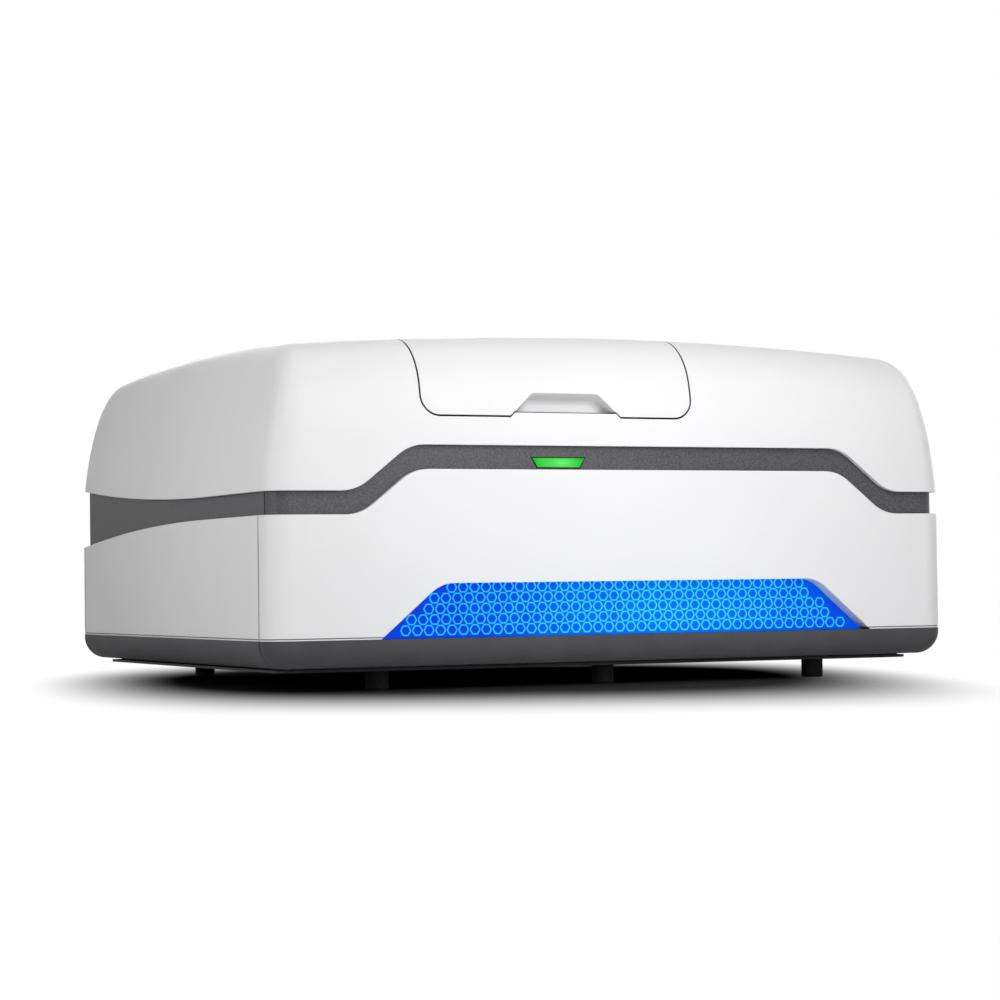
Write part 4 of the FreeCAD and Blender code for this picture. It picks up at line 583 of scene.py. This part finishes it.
def outlined_cells() -> Recipe:
    """Lattice of separate six-sided cell outlines that fills a trapezoid."""
    recipe = Recipe("outlined cells")
    tree = recipe.tree
    half = recipe.size("Half Width")
    slope = recipe.size("Slope")
    columns = recipe.size("Columns", "NodeSocketInt")
    rows = recipe.size("Rows", "NodeSocketInt")
    pitch = recipe.size("Pitch")
    row_pitch = recipe.size("Row Pitch")
    cell = recipe.size("Cell Radius")
    line = recipe.size("Line Width")
    depth = recipe.size("Line Depth")
    centre = recipe.size("Centre", "NodeSocketVector")
    spans = []
    for count, step in ((columns, pitch), (rows, row_pitch)):
        gaps = add(tree, "ShaderNodeMath", {0: count, 1: 1.0}, operation="SUBTRACT")
        spans.append(add(tree, "ShaderNodeMath", {0: gaps.outputs[0], 1: step},
                         operation="MULTIPLY"))
    width, height = (span.outputs[0] for span in spans)
    grid = add(tree, "GeometryNodeMeshGrid", {"Size X": width, "Size Y": height,
               "Vertices X": columns, "Vertices Y": rows})
    # Height of a cell above the lowest row, and its row's sideways shift of a quarter pitch.
    position = add(tree, "GeometryNodeInputPosition")
    place = add(tree, "ShaderNodeSeparateXYZ", {0: position.outputs[0]})
    rise = add(tree, "ShaderNodeMath", {0: height, 1: 0.5, 2: place.outputs["Y"]},
               operation="MULTIPLY_ADD")
    level = add(tree, "ShaderNodeMath", {0: rise.outputs[0], 1: row_pitch}, operation="DIVIDE")
    row = add(tree, "ShaderNodeMath", {0: level.outputs[0]}, operation="ROUND")
    odd = add(tree, "ShaderNodeMath", {0: row.outputs[0], 1: 2.0}, operation="MODULO")
    sway = add(tree, "ShaderNodeMath", {0: odd.outputs[0], 1: 0.5}, operation="SUBTRACT")
    reach = add(tree, "ShaderNodeMath", {0: pitch, 1: 0.5}, operation="MULTIPLY")
    shift = add(tree, "ShaderNodeMath", {0: sway.outputs[0], 1: reach.outputs[0]},
                operation="MULTIPLY")
    offset = add(tree, "ShaderNodeCombineXYZ", {"X": shift.outputs[0]})
    moved = add(tree, "GeometryNodeSetPosition", {"Geometry": grid.outputs["Mesh"],
                "Offset": offset.outputs[0]})
    # Cells beyond the slanted ends of the window are left out.
    across = add(tree, "ShaderNodeMath", {0: place.outputs["X"], 1: shift.outputs[0]},
                 operation="ADD")
    aside = add(tree, "ShaderNodeMath", {0: across.outputs[0]}, operation="ABSOLUTE")
    room = add(tree, "ShaderNodeMath", {0: half, 1: cell}, operation="SUBTRACT")
    slant = add(tree, "ShaderNodeMath", {0: rise.outputs[0], 1: slope}, operation="MULTIPLY")
    limit = add(tree, "ShaderNodeMath", {0: room.outputs[0], 1: slant.outputs[0]},
                operation="SUBTRACT")
    outside = add(tree, "ShaderNodeMath", {0: aside.outputs[0], 1: limit.outputs[0]},
                  operation="GREATER_THAN")
    kept = add(tree, "GeometryNodeDeleteGeometry", {"Geometry": moved.outputs[0],
               "Selection": outside.outputs[0]})
    ring = add(tree, "GeometryNodeCurvePrimitiveCircle", {"Resolution": 6, "Radius": cell})
    corner = add(tree, "ShaderNodeMath", {0: cell, 1: 0.3}, operation="MULTIPLY")
    soft = add(tree, "GeometryNodeFilletCurve", {"Curve": ring.outputs["Curve"], "Count": 3,
               "Radius": corner.outputs[0]}, mode="POLY")
    section = add(tree, "GeometryNodeCurvePrimitiveQuadrilateral", {"Width": line,
                  "Height": depth})
    wire = add(tree, "GeometryNodeCurveToMesh", {"Curve": soft.outputs[0],
               "Profile Curve": section.outputs[0]})
    cells = add(tree, "GeometryNodeInstanceOnPoints", {"Points": kept.outputs[0],
                "Instance": wire.outputs[0]})
    upright = add(tree, "GeometryNodeTransform", {"Geometry": cells.outputs[0],
                  "Translation": centre, "Rotation": Axis.FRONT.value})
    recipe.close(upright.outputs[0])
    return recipe


def socket_screws() -> Recipe:
    """Screw heads with a chamfered rim and a six-sided socket, one on each point."""
    recipe = Recipe("socket screws")
    tree = recipe.tree
    radius = recipe.size("Radius")
    height = recipe.size("Height")
    socket = recipe.size("Socket Radius")
    turn = recipe.size("Turn", "NodeSocketRotation")
    half = add(tree, "ShaderNodeMath", {0: height, 1: 0.5}, operation="MULTIPLY")
    top = add(tree, "ShaderNodeMath", {0: radius, 1: 0.86}, operation="MULTIPLY")
    shank = add(tree, "GeometryNodeMeshCylinder", {"Vertices": 28, "Radius": radius,
                "Depth": half.outputs[0]})
    rim = add(tree, "GeometryNodeMeshCone", {"Vertices": 28, "Radius Bottom": radius,
              "Radius Top": top.outputs[0], "Depth": half.outputs[0]})
    tool = add(tree, "GeometryNodeMeshCylinder", {"Vertices": 6, "Radius": socket,
               "Depth": height})
    # Shank and rim share the height, and the socket is cut from the middle upwards.
    placed = []
    for part, share in ((shank, 0.25), (rim, 0.5), (tool, 0.95)):
        rise = add(tree, "ShaderNodeMath", {0: height, 1: share}, operation="MULTIPLY")
        up = add(tree, "ShaderNodeCombineXYZ", {"Z": rise.outputs[0]})
        placed.append(add(tree, "GeometryNodeTransform", {"Geometry": part.outputs["Mesh"],
                          "Translation": up.outputs[0]}))
    low, high, raised = placed
    head = add(tree, "GeometryNodeJoinGeometry")
    for part in (high, low):
        cut = add(tree, "GeometryNodeMeshBoolean", {"Mesh 1": part.outputs[0],
                  "Mesh 2": raised.outputs[0]}, operation="DIFFERENCE")
        tree.links.new(cut.outputs["Mesh"], head.inputs[0])
    screws = add(tree, "GeometryNodeInstanceOnPoints", {"Points": recipe.points,
                 "Instance": head.outputs[0], "Rotation": turn})
    recipe.close(screws.outputs[0])
    return recipe


def ring_row() -> Recipe:
    """Plain rings, one on each point, such as port rims and the O of a switch."""
    recipe = Recipe("rings")
    tree = recipe.tree
    radius = recipe.size("Radius")
    wire = recipe.size("Wire Radius")
    turn = recipe.size("Turn", "NodeSocketRotation")
    circle = add(tree, "GeometryNodeCurvePrimitiveCircle", {"Resolution": 28, "Radius": radius})
    section = add(tree, "GeometryNodeCurvePrimitiveCircle", {"Resolution": 8, "Radius": wire})
    torus = add(tree, "GeometryNodeCurveToMesh", {"Curve": circle.outputs["Curve"],
                "Profile Curve": section.outputs["Curve"]})
    rings = add(tree, "GeometryNodeInstanceOnPoints", {"Points": recipe.points,
                "Instance": torus.outputs[0], "Rotation": turn})
    recipe.close(rings.outputs[0])
    return recipe


def bar_row() -> Recipe:
    """Small bars in a straight row from each point, such as contacts."""
    recipe = Recipe("bars")
    tree = recipe.tree
    count = recipe.size("Count", "NodeSocketInt")
    step = recipe.size("Step", "NodeSocketVector")
    bar = recipe.size("Bar", "NodeSocketVector")
    turn = recipe.size("Turn", "NodeSocketRotation")
    row = add(tree, "GeometryNodeMeshLine", {"Count": count, "Offset": step})
    block = add(tree, "GeometryNodeMeshCube", {"Size": bar})
    bars = add(tree, "GeometryNodeInstanceOnPoints", {"Points": row.outputs[0],
               "Instance": block.outputs["Mesh"]})
    rows = add(tree, "GeometryNodeInstanceOnPoints", {"Points": recipe.points,
               "Instance": bars.outputs[0], "Rotation": turn})
    recipe.close(rows.outputs[0])
    return recipe


def rib_ring() -> Recipe:
    """Upright ribs spaced round a barrel, such as a knurled grip."""
    recipe = Recipe("ribs round a barrel")
    tree = recipe.tree
    count = recipe.size("Count", "NodeSocketInt")
    radius = recipe.size("Radius")
    bar = recipe.size("Bar", "NodeSocketVector")
    circle = add(tree, "GeometryNodeCurvePrimitiveCircle", {"Resolution": count,
                 "Radius": radius})
    position = add(tree, "GeometryNodeInputPosition")
    outward = add(tree, "FunctionNodeAlignRotationToVector", {"Vector": position.outputs[0]},
                  axis="X")
    block = add(tree, "GeometryNodeMeshCube", {"Size": bar})
    ribs = add(tree, "GeometryNodeInstanceOnPoints", {"Points": circle.outputs["Curve"],
               "Instance": block.outputs["Mesh"], "Rotation": outward.outputs[0]})
    grips = add(tree, "GeometryNodeInstanceOnPoints", {"Points": recipe.points,
                "Instance": ribs.outputs[0]})
    recipe.close(grips.outputs[0])
    return recipe


# Sub-assemblies

@dataclass
class Shells:
    """White lid, door and lower panels."""

    housing: tuple[str, ...] = ("lid_shell", "front_panel", "side_panel_left",
                                "side_panel_right", "rear_panel")

    def build(self) -> None:
        """Dress the white shells."""
        for node in self.housing:
            smooth_skin(node, WHITE_SHELL, Body.HOUSING)
        smooth_skin("access_door", WHITE_SHELL, Body.DOOR)
        dress(["door_liner"], BAY_MOULDING)


@dataclass
class Undercarriage:
    """Dark middle frame, tray, base plate and feet."""

    def build(self) -> None:
        """Dress frame, tray and base."""
        for node in ("front_band", "rear_band"):
            smooth_skin(node, GREY_FRAME, Body.HOUSING)
        for node in ("tray_front", "tray_rear", "tray_left", "tray_right"):
            smooth_skin(node, DARK_TRAY, Body.HOUSING)
        dress(["base_plate", "chassis_frame"], BLACK_POWDER)
        feet = [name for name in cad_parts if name.startswith("foot_")]
        dress(feet + ["door_bumpers", "door_seal", "isolators"], BLACK_RUBBER)


@dataclass
class LightWindow:
    """Blue light panel behind the front window with its lattice of lit cell outlines."""

    centre_x: float = 0.011
    front_y: float = -0.356
    low_z: float = 0.0580
    mid_z: float = 0.089
    half_mid: float = 0.281
    slope_deg: float = 40.0
    margin: float = 0.003
    columns: int = 46
    rows: int = 5
    pitch: float = 0.0142
    row_pitch: float = 0.0120
    cell: float = 0.0061
    line: float = 0.0014
    halo: float = 0.0034

    def build(self) -> None:
        """Dress the light panel and lay the cells on it."""
        dress(["light_panel"], BLUE_ACRYLIC)
        recipe = outlined_cells()
        slope = 1 / math.tan(math.radians(self.slope_deg))
        height = (self.rows - 1) * self.row_pitch
        first_z = self.low_z + self.cell + self.margin
        half_first = self.half_mid + (self.mid_z - first_z) * slope - self.margin
        layers = (
            ("cell_halos", CELL_HALO, self.halo, 0.0002, 0.0002),
            ("cell_lines", CELL_LINE, self.line, 0.0004, 0.0003),
        )
        for name, finish, width, depth, proud in layers:
            recipe.make(name, [(0.0, 0.0, 0.0)], finish, Body.HOUSING, "blue_diffuser", {
                "Half Width": half_first, "Slope": slope, "Columns": self.columns,
                "Rows": self.rows, "Pitch": self.pitch, "Row Pitch": self.row_pitch,
                "Cell Radius": self.cell, "Line Width": width, "Line Depth": depth,
                "Centre": (self.centre_x, self.front_y - proud, first_z + height / 2)})


@dataclass
class StatusLight:
    """Green status light in the middle frame, with the dark gasket round its lens."""

    centre_x: float = -0.082
    low_z: float = 0.2515
    top_z: float = 0.262
    half_low: float = 0.0265
    half_top: float = 0.033
    gasket: float = 0.0011
    face_y: float = -0.368
    proud: float = 0.0006

    def outline(self, offset: float) -> list[tuple[float, float]]:
        """Return the lens outline grown by an offset."""
        x = self.centre_x
        low, top = self.half_low + offset, self.half_top + 1.6 * offset
        return [(x - low, self.low_z - offset), (x + low, self.low_z - offset),
                (x + top, self.top_z + offset), (x - top, self.top_z + offset)]

    def build(self) -> None:
        """Dress the lens and the boards behind the lights, and lay the gasket."""
        dress(["status_lens"], GREEN_LENS)
        ring = plate_ring("status_gasket", self.outline(self.gasket), self.outline(0.0),
                          self.face_y - self.proud, self.face_y + self.proud)
        piece("status_gasket", ring, BLACK_RUBBER, Body.HOUSING)
        dress(["light_boards"], GREEN_LAMINATE)


@dataclass
class LoadingBay:
    """Tub under the door and the door's hinge."""

    def build(self) -> None:
        """Dress the tub and the hinge."""
        dress(["loading_bay"], BAY_MOULDING)
        dress(["hinge_brackets", "hinge_pins"], GROUND_STEEL)


@dataclass
class Stage:
    """Two-axis stage with the chip nest, seen through the port."""

    centre: tuple[float, float] = (-0.083, -0.231)
    screw_radius: float = 0.0035
    screw_height: float = 0.0030
    base_top: float = 0.240
    y_plate_top: float = 0.260
    x_plate_top: float = 0.278
    chip_top: float = 0.2765
    base_reach: tuple[float, float] = (0.140, 0.065)
    y_reach: tuple[float, float] = (0.128, 0.035)
    x_reach: tuple[float, float] = (0.050, 0.055)
    wells: int = 6
    well_pitch: float = 0.012
    well_y: float = 0.0065
    well_radius: float = 0.0029
    well_wire: float = 0.00035

    def spots(self, reach: tuple[float, float], top: float) -> list[tuple[float, float, float]]:
        """Return four points at the corners of a plate."""
        x, y = self.centre
        return [(x + sx * reach[0], y + sy * reach[1], top) for sx in (-1, 1) for sy in (-1, 1)]

    def build(self, screws: Recipe, rings: Recipe) -> None:
        """Dress the stage and set its screws and well rims.

        Args:
            screws: Recipe of the screws.
            rings: Recipe of the rings.
        """
        dress(["stage_base", "stage_posts", "y_carriage", "x_carriage", "optical_base"],
              BLASTED_ALUMINIUM)
        dress(["y_rails", "x_rails", "clamp_pin"], GROUND_STEEL)
        dress(["chip_clamp"], BLACK_ANODISED)
        dress(["sample_chip"], CHIP_POLYMER)
        sizes = {"Radius": self.screw_radius, "Height": self.screw_height,
                 "Socket Radius": self.screw_radius * 0.52, "Turn": Axis.UP.value}
        plates = (("stage_base_screws", self.base_reach, self.base_top, Body.HOUSING),
                  ("y_carriage_screws", self.y_reach, self.y_plate_top, Body.Y_STAGE),
                  ("x_carriage_screws", self.x_reach, self.x_plate_top, Body.X_STAGE))
        for name, reach, top, body in plates:
            screws.make(name, self.spots(reach, top), GROUND_STEEL, body, "steel", sizes)
        x, y = self.centre
        first = -(self.wells - 1) / 2
        holes = [(x + (first + index) * self.well_pitch, y + side * self.well_y, self.chip_top)
                 for index in range(self.wells) for side in (-1, 1)]
        rings.make("chip_port_rims", holes, PORT_RIM, Body.X_STAGE, "chip_plastic",
                   {"Radius": self.well_radius, "Wire Radius": self.well_wire,
                    "Turn": Axis.UP.value})


@dataclass
class Optics:
    """Objective, focus drive, filter wheel, camera and laser on the optical base."""

    centre: tuple[float, float] = (-0.083, -0.231)
    grip_z: float = 0.216
    grip_radius: float = 0.016
    ribs: int = 40
    rib: tuple[float, float, float] = (0.0009, 0.0012, 0.010)
    ring_rise: float = 0.014
    ring_wire: float = 0.0005

    def build(self, rings: Recipe, ribs: Recipe) -> None:
        """Dress the microscope and add the grip and colour rings of the objective.

        Args:
            rings: Recipe of the rings.
            ribs: Recipe of the ribs.
        """
        dress(["objective"], TURNED_BRASS)
        dress(["focus_carriage", "focus_column"], BLASTED_ALUMINIUM)
        dress(["mirror_block", "filter_motor", "filter_wheel", "tube_lens"], BLACK_ANODISED)
        dress(["camera", "laser_module", "power_supply"], GREY_ENAMEL)
        x, y = self.centre
        ribs.make("objective_grip", [(x, y, self.grip_z)], TURNED_BRASS, Body.FOCUS,
                  "objective_brass", {"Count": self.ribs, "Radius": self.grip_radius,
                                      "Bar": self.rib})
        rings.make("objective_colour_ring", [(x, y, self.grip_z + self.ring_rise)], WHITE_INK,
                   Body.FOCUS, "objective_brass",
                   {"Radius": self.grip_radius, "Wire Radius": self.ring_wire,
                    "Turn": Axis.UP.value})


@dataclass
class RearFace:
    """Rear panel screws, connections, switch and fans."""

    rear_y: float = 0.376
    screw_x: tuple[float, ...] = (-0.400, -0.230, -0.098, 0.070, 0.206, 0.330, 0.400)
    screw_z: tuple[float, ...] = (0.072, 0.158)
    screw_radius: float = 0.0034
    screw_height: float = 0.0014
    screw_sink: float = 0.0017
    row_z: float = 0.115
    port_x: tuple[float, ...] = (-0.208, -0.186)
    contacts: int = 8
    contact_pitch: float = 0.00117
    contact: tuple[float, float, float] = (0.0005, 0.007, 0.0004)
    contact_spot: tuple[float, float, float] = (-0.0041, -0.0105, 0.0052)
    rocker_x: float = -0.284
    rocker_y: float = 0.3714
    rocker_slope: float = 0.16
    mark_z: float = 0.0052
    prongs: tuple[tuple[float, float], ...] = ((-0.337, -0.002), (-0.330, 0.002), (-0.323, -0.002))
    prong_y: float = 0.3651
    prong: tuple[float, float, float] = (0.0023, 0.0098, 0.0043)
    stroke: tuple[float, float, float] = (0.0009, 0.0003, 0.0046)
    ring_radius: float = 0.0020

    def build(self, screws: Recipe, bars: Recipe, rings: Recipe) -> None:
        """Dress the rear and add screws, contacts and the marks of the switch.

        Args:
            screws: Recipe of the screws.
            bars: Recipe of the bars.
            rings: Recipe of the rings.
        """
        plastics = ["power_inlet", "switch_frame", "power_switch", "data_ports",
                    "fan_frame_left", "fan_frame_right", "fan_rotor_left", "fan_rotor_right"]
        dress(plastics, BLACK_NYLON)
        dress(["controller_board"], GREEN_LAMINATE)
        seat_y = self.rear_y - self.screw_sink
        spots = [(x, seat_y, z) for x in self.screw_x for z in self.screw_z]
        made = screws.make("rear_socket_screws", spots, GROUND_STEEL, Body.HOUSING, "steel",
                           {"Radius": self.screw_radius, "Height": self.screw_height,
                            "Socket Radius": self.screw_radius * 0.5, "Turn": Axis.REAR.value})
        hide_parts("rear_screws")
        dx, dy, dz = self.contact_spot
        pins = [(x + dx, self.rear_y + dy, self.row_z + dz) for x in self.port_x]
        bars.make("network_contacts", pins, GILT_CONTACT, Body.HOUSING, "steel",
                  {"Count": self.contacts, "Step": (self.contact_pitch, 0.0, 0.0),
                   "Bar": self.contact, "Turn": Axis.UP.value})
        plates = [(x, self.prong_y, self.row_z + rise) for x, rise in self.prongs]
        bars.make("inlet_contacts", plates, GROUND_STEEL, Body.HOUSING, "steel",
                  {"Count": 1, "Bar": self.prong, "Turn": Axis.UP.value})
        mark_y = self.rocker_y + self.rocker_slope * self.mark_z
        bars.make("switch_mark_on", [(self.rocker_x, mark_y, self.row_z + self.mark_z)],
                  WHITE_INK, Body.SWITCH, "black_plastic",
                  {"Count": 1, "Bar": self.stroke, "Turn": (-self.rocker_slope, 0.0, 0.0)})
        rings.make("switch_mark_off", [(self.rocker_x, mark_y, self.row_z - self.mark_z)],
                   WHITE_INK, Body.SWITCH, "black_plastic",
                   {"Radius": self.ring_radius, "Wire Radius": self.stroke[1],
                    "Turn": (self.rocker_slope - math.pi / 2, 0.0, 0.0)})


# Camera, light and floor

@dataclass(frozen=True)
class Lamp:
    """A soft box: where it hangs, what it faces, its width and height, and its watts."""

    name: str
    place: tuple[float, float, float]
    target: tuple[float, float, float]
    size: tuple[float, float]
    power: float

    def hang(self) -> None:
        """Put the lamp into the scene and aim it."""
        data = bpy.data.lights.new(self.name, "AREA")
        data.shape = "RECTANGLE"
        data.size, data.size_y = self.size
        data.energy = self.power
        made = bpy.data.objects.new(self.name, data)
        made.location = self.place
        made.rotation_mode = "QUATERNION"
        aim = Vector(self.target) - Vector(self.place)
        made.rotation_quaternion = aim.to_track_quat("-Z", "Y")
        bpy.context.scene.collection.objects.link(made)


@dataclass
class Studio:
    """White studio: floor, soft lamps, surroundings and the camera of the photograph."""

    place: tuple[float, float, float] = (-1.44579, -3.20408, 0.11916)
    yaw_deg: float = 24.45
    pitch_deg: float = 1.74
    roll_deg: float = 0.75
    lens_mm: float = 98.56
    sensor_mm: float = 36.0
    ambient: float = 0.18
    floor_size: float = 60.0
    # Reach across, ahead and behind, lean, shift and dark core of the shadow painted on the floor.
    shade_reach: tuple[float, float, float] = (0.575, 1.11, 0.80)
    shade_lean: float = 0.12
    shade_shift: float = 0.03
    shade_core: float = 0.42
    lamps: tuple[Lamp, ...] = (
        Lamp("front box", (0.02, -0.98, 0.40), (0.05, -0.376, 0.25), (0.6, 0.4), 1.8),
        Lamp("left box", (-1.25, -0.45, 0.4), (-0.44, -0.2, 0.22), (0.7, 0.6), 2.4),
        Lamp("high box", (0.1, -1.3, 0.9), (0.0, -0.37, 0.3), (1.0, 0.5), 3.4),
        Lamp("high left box", (-0.6, -1.5, 1.4), (-0.1, -0.37, 0.3), (1.0, 0.6), 4.2),
        Lamp("top box", (0.0, -0.3, 2.4), (0.0, 0.0, 0.3), (1.6, 1.2), 8.0),
        Lamp("rear box", (0.5, 2.2, 0.8), (0.0, 0.38, 0.2), (1.2, 0.8), 12.0),
        Lamp("right box", (2.1, 0.6, 0.7), (0.44, 0.1, 0.2), (1.0, 0.8), 10.0),
    )

    def camera(self) -> None:
        """Set the camera where the photograph was taken from."""
        yaw, pitch, roll = (math.radians(a) for a in (self.yaw_deg, self.pitch_deg, self.roll_deg))
        ahead = Vector((math.sin(yaw) * math.cos(pitch), math.cos(yaw) * math.cos(pitch),
                        math.sin(pitch)))
        right = Vector((math.cos(yaw), -math.sin(yaw), 0.0))
        up = right.cross(ahead)
        side = math.cos(roll) * right - math.sin(roll) * up
        top = math.sin(roll) * right + math.cos(roll) * up
        data = bpy.data.cameras.new("camera")
        data.lens = self.lens_mm
        data.sensor_width = self.sensor_mm
        data.clip_end = 200.0
        made = bpy.data.objects.new("camera", data)
        turn = Matrix((side, top, -ahead)).transposed().to_4x4()
        made.matrix_world = Matrix.Translation(self.place) @ turn
        bpy.context.scene.collection.objects.link(made)
        bpy.context.scene.camera = made

    def surroundings(self) -> None:
        """Make the world: plain soft light, and white where it is seen or mirrored."""
        world = bpy.data.worlds.new("studio")
        world.use_nodes = True
        tree = world.node_tree
        back = tree.nodes["Background"]
        rays = add(tree, "ShaderNodeLightPath")
        seen = add(tree, "ShaderNodeMath", {0: rays.outputs["Is Camera Ray"],
                   1: rays.outputs["Is Transmission Ray"]}, operation="MAXIMUM")
        shown = add(tree, "ShaderNodeMath", {0: seen.outputs[0],
                    1: rays.outputs["Is Glossy Ray"]}, operation="MAXIMUM")
        bright = add(tree, "ShaderNodeMapRange", {"Value": shown.outputs[0],
                     "To Min": self.ambient, "To Max": 1.0})
        back.inputs["Color"].default_value = (1.0, 1.0, 1.0, 1.0)
        tree.links.new(bright.outputs["Result"], back.inputs["Strength"])
        bpy.context.scene.world = world

    def floor(self) -> None:
        """Lay the pale floor, which is white away from the instrument and, for the camera, has a
        painted shadow round it: a dark base that the lamps' real shadow also falls on.
        """
        half = self.floor_size / 2
        mesh = bpy.data.meshes.new("floor")
        mesh.from_pydata([(-half, -half, 0), (half, -half, 0), (half, half, 0), (-half, half, 0)],
                         [], [(0, 1, 2, 3)])
        material = bpy.data.materials.new("studio_paper_with_painted_shadow")
        material.use_nodes = True
        tree = material.node_tree
        shader = tree.nodes["Principled BSDF"]
        shader.inputs["Roughness"].default_value = 0.9
        shader.inputs["Specular IOR Level"].default_value = 0.0
        # The painted shadow's area is measured to the right of the camera and ahead of it.
        spot = add(tree, "ShaderNodeTexCoord").outputs["Object"]
        turn = math.radians(self.yaw_deg)
        wide, front, rear = self.shade_reach
        right = Vector((math.cos(turn), -math.sin(turn), 0.0))
        forward = Vector((math.sin(turn), math.cos(turn), 0.0))
        aside = add(tree, "ShaderNodeVectorMath",
                    {0: spot, 1: (right + self.shade_lean * forward) / wide},
                    operation="DOT_PRODUCT")
        centred = add(tree, "ShaderNodeMath", {0: aside.outputs["Value"],
                      1: self.shade_shift / wide}, operation="ADD")
        ahead = add(tree, "ShaderNodeVectorMath", {0: spot, 1: forward},
                    operation="DOT_PRODUCT")
        nearer = add(tree, "ShaderNodeMath", {0: ahead.outputs["Value"], 1: -1 / front},
                     operation="MULTIPLY")
        farther = add(tree, "ShaderNodeMath", {0: ahead.outputs["Value"], 1: 1 / rear},
                      operation="MULTIPLY")
        deep = add(tree, "ShaderNodeMath", {0: nearer.outputs[0], 1: farther.outputs[0]},
                   operation="MAXIMUM")
        # The area is an oval, squarer at its ends than along its length.
        across = add(tree, "ShaderNodeMath", {0: centred.outputs[0], 1: 4.0}, operation="POWER")
        along = add(tree, "ShaderNodeMath", {0: deep.outputs[0], 1: 2.0}, operation="POWER")
        both = add(tree, "ShaderNodeMath", {0: across.outputs[0], 1: along.outputs[0]},
                   operation="ADD")
        reach = add(tree, "ShaderNodeMath", {0: both.outputs[0], 1: 0.5}, operation="POWER")
        outside_painted_shadow = add(tree, "ShaderNodeMapRange", {"Value": reach.outputs[0],
                   "From Min": self.shade_core}, interpolation_type="SMOOTHSTEP")
        # The camera sees white paper outside that area and a painted shadow, a dark base, inside
        # it; all other rays meet pale paper.
        seen = add(tree, "ShaderNodeLightPath")
        paper = add(tree, "ShaderNodeMix", {"Factor": seen.outputs["Is Camera Ray"]},
                    data_type="RGBA")
        paper.inputs[6].default_value = linear("E6E6E6")
        paper.inputs[7].default_value = linear("2C2C2C")
        tree.links.new(paper.outputs[2], shader.inputs["Base Color"])
        white = add(tree, "ShaderNodeMath", {0: seen.outputs["Is Camera Ray"],
                    1: outside_painted_shadow.outputs["Result"]}, operation="MULTIPLY")
        shader.inputs["Emission Color"].default_value = (1.0, 1.0, 1.0, 1.0)
        tree.links.new(white.outputs[0], shader.inputs["Emission Strength"])
        mesh.materials.append(material)
        made = bpy.data.objects.new("floor", mesh)
        bpy.context.scene.collection.objects.link(made)

    def build(self) -> None:
        """Set up the whole studio."""
        scene = bpy.context.scene
        scene.view_settings.view_transform = "Standard"
        self.camera()
        self.surroundings()
        self.floor()
        for lamp in self.lamps:
            lamp.hang()


def main() -> None:
    """Build the instrument's looks in order."""
    logging.basicConfig(level=logging.INFO, format="%(name)s: %(message)s")
    screws = socket_screws()
    rings = ring_row()
    bars = bar_row()
    ribs = rib_ring()
    steps = (
        ("shells", lambda: Shells().build()),
        ("undercarriage", lambda: Undercarriage().build()),
        ("light window", lambda: LightWindow().build()),
        ("status light", lambda: StatusLight().build()),
        ("loading bay", lambda: LoadingBay().build()),
        ("stage", lambda: Stage().build(screws, rings)),
        ("optics", lambda: Optics().build(rings, ribs)),
        ("rear face", lambda: RearFace().build(screws, bars, rings)),
        ("studio", lambda: Studio().build()),
    )
    for name, step in steps:
        step()
        LOG.info("built %s", name)


if __name__ == "__main__":
    main()
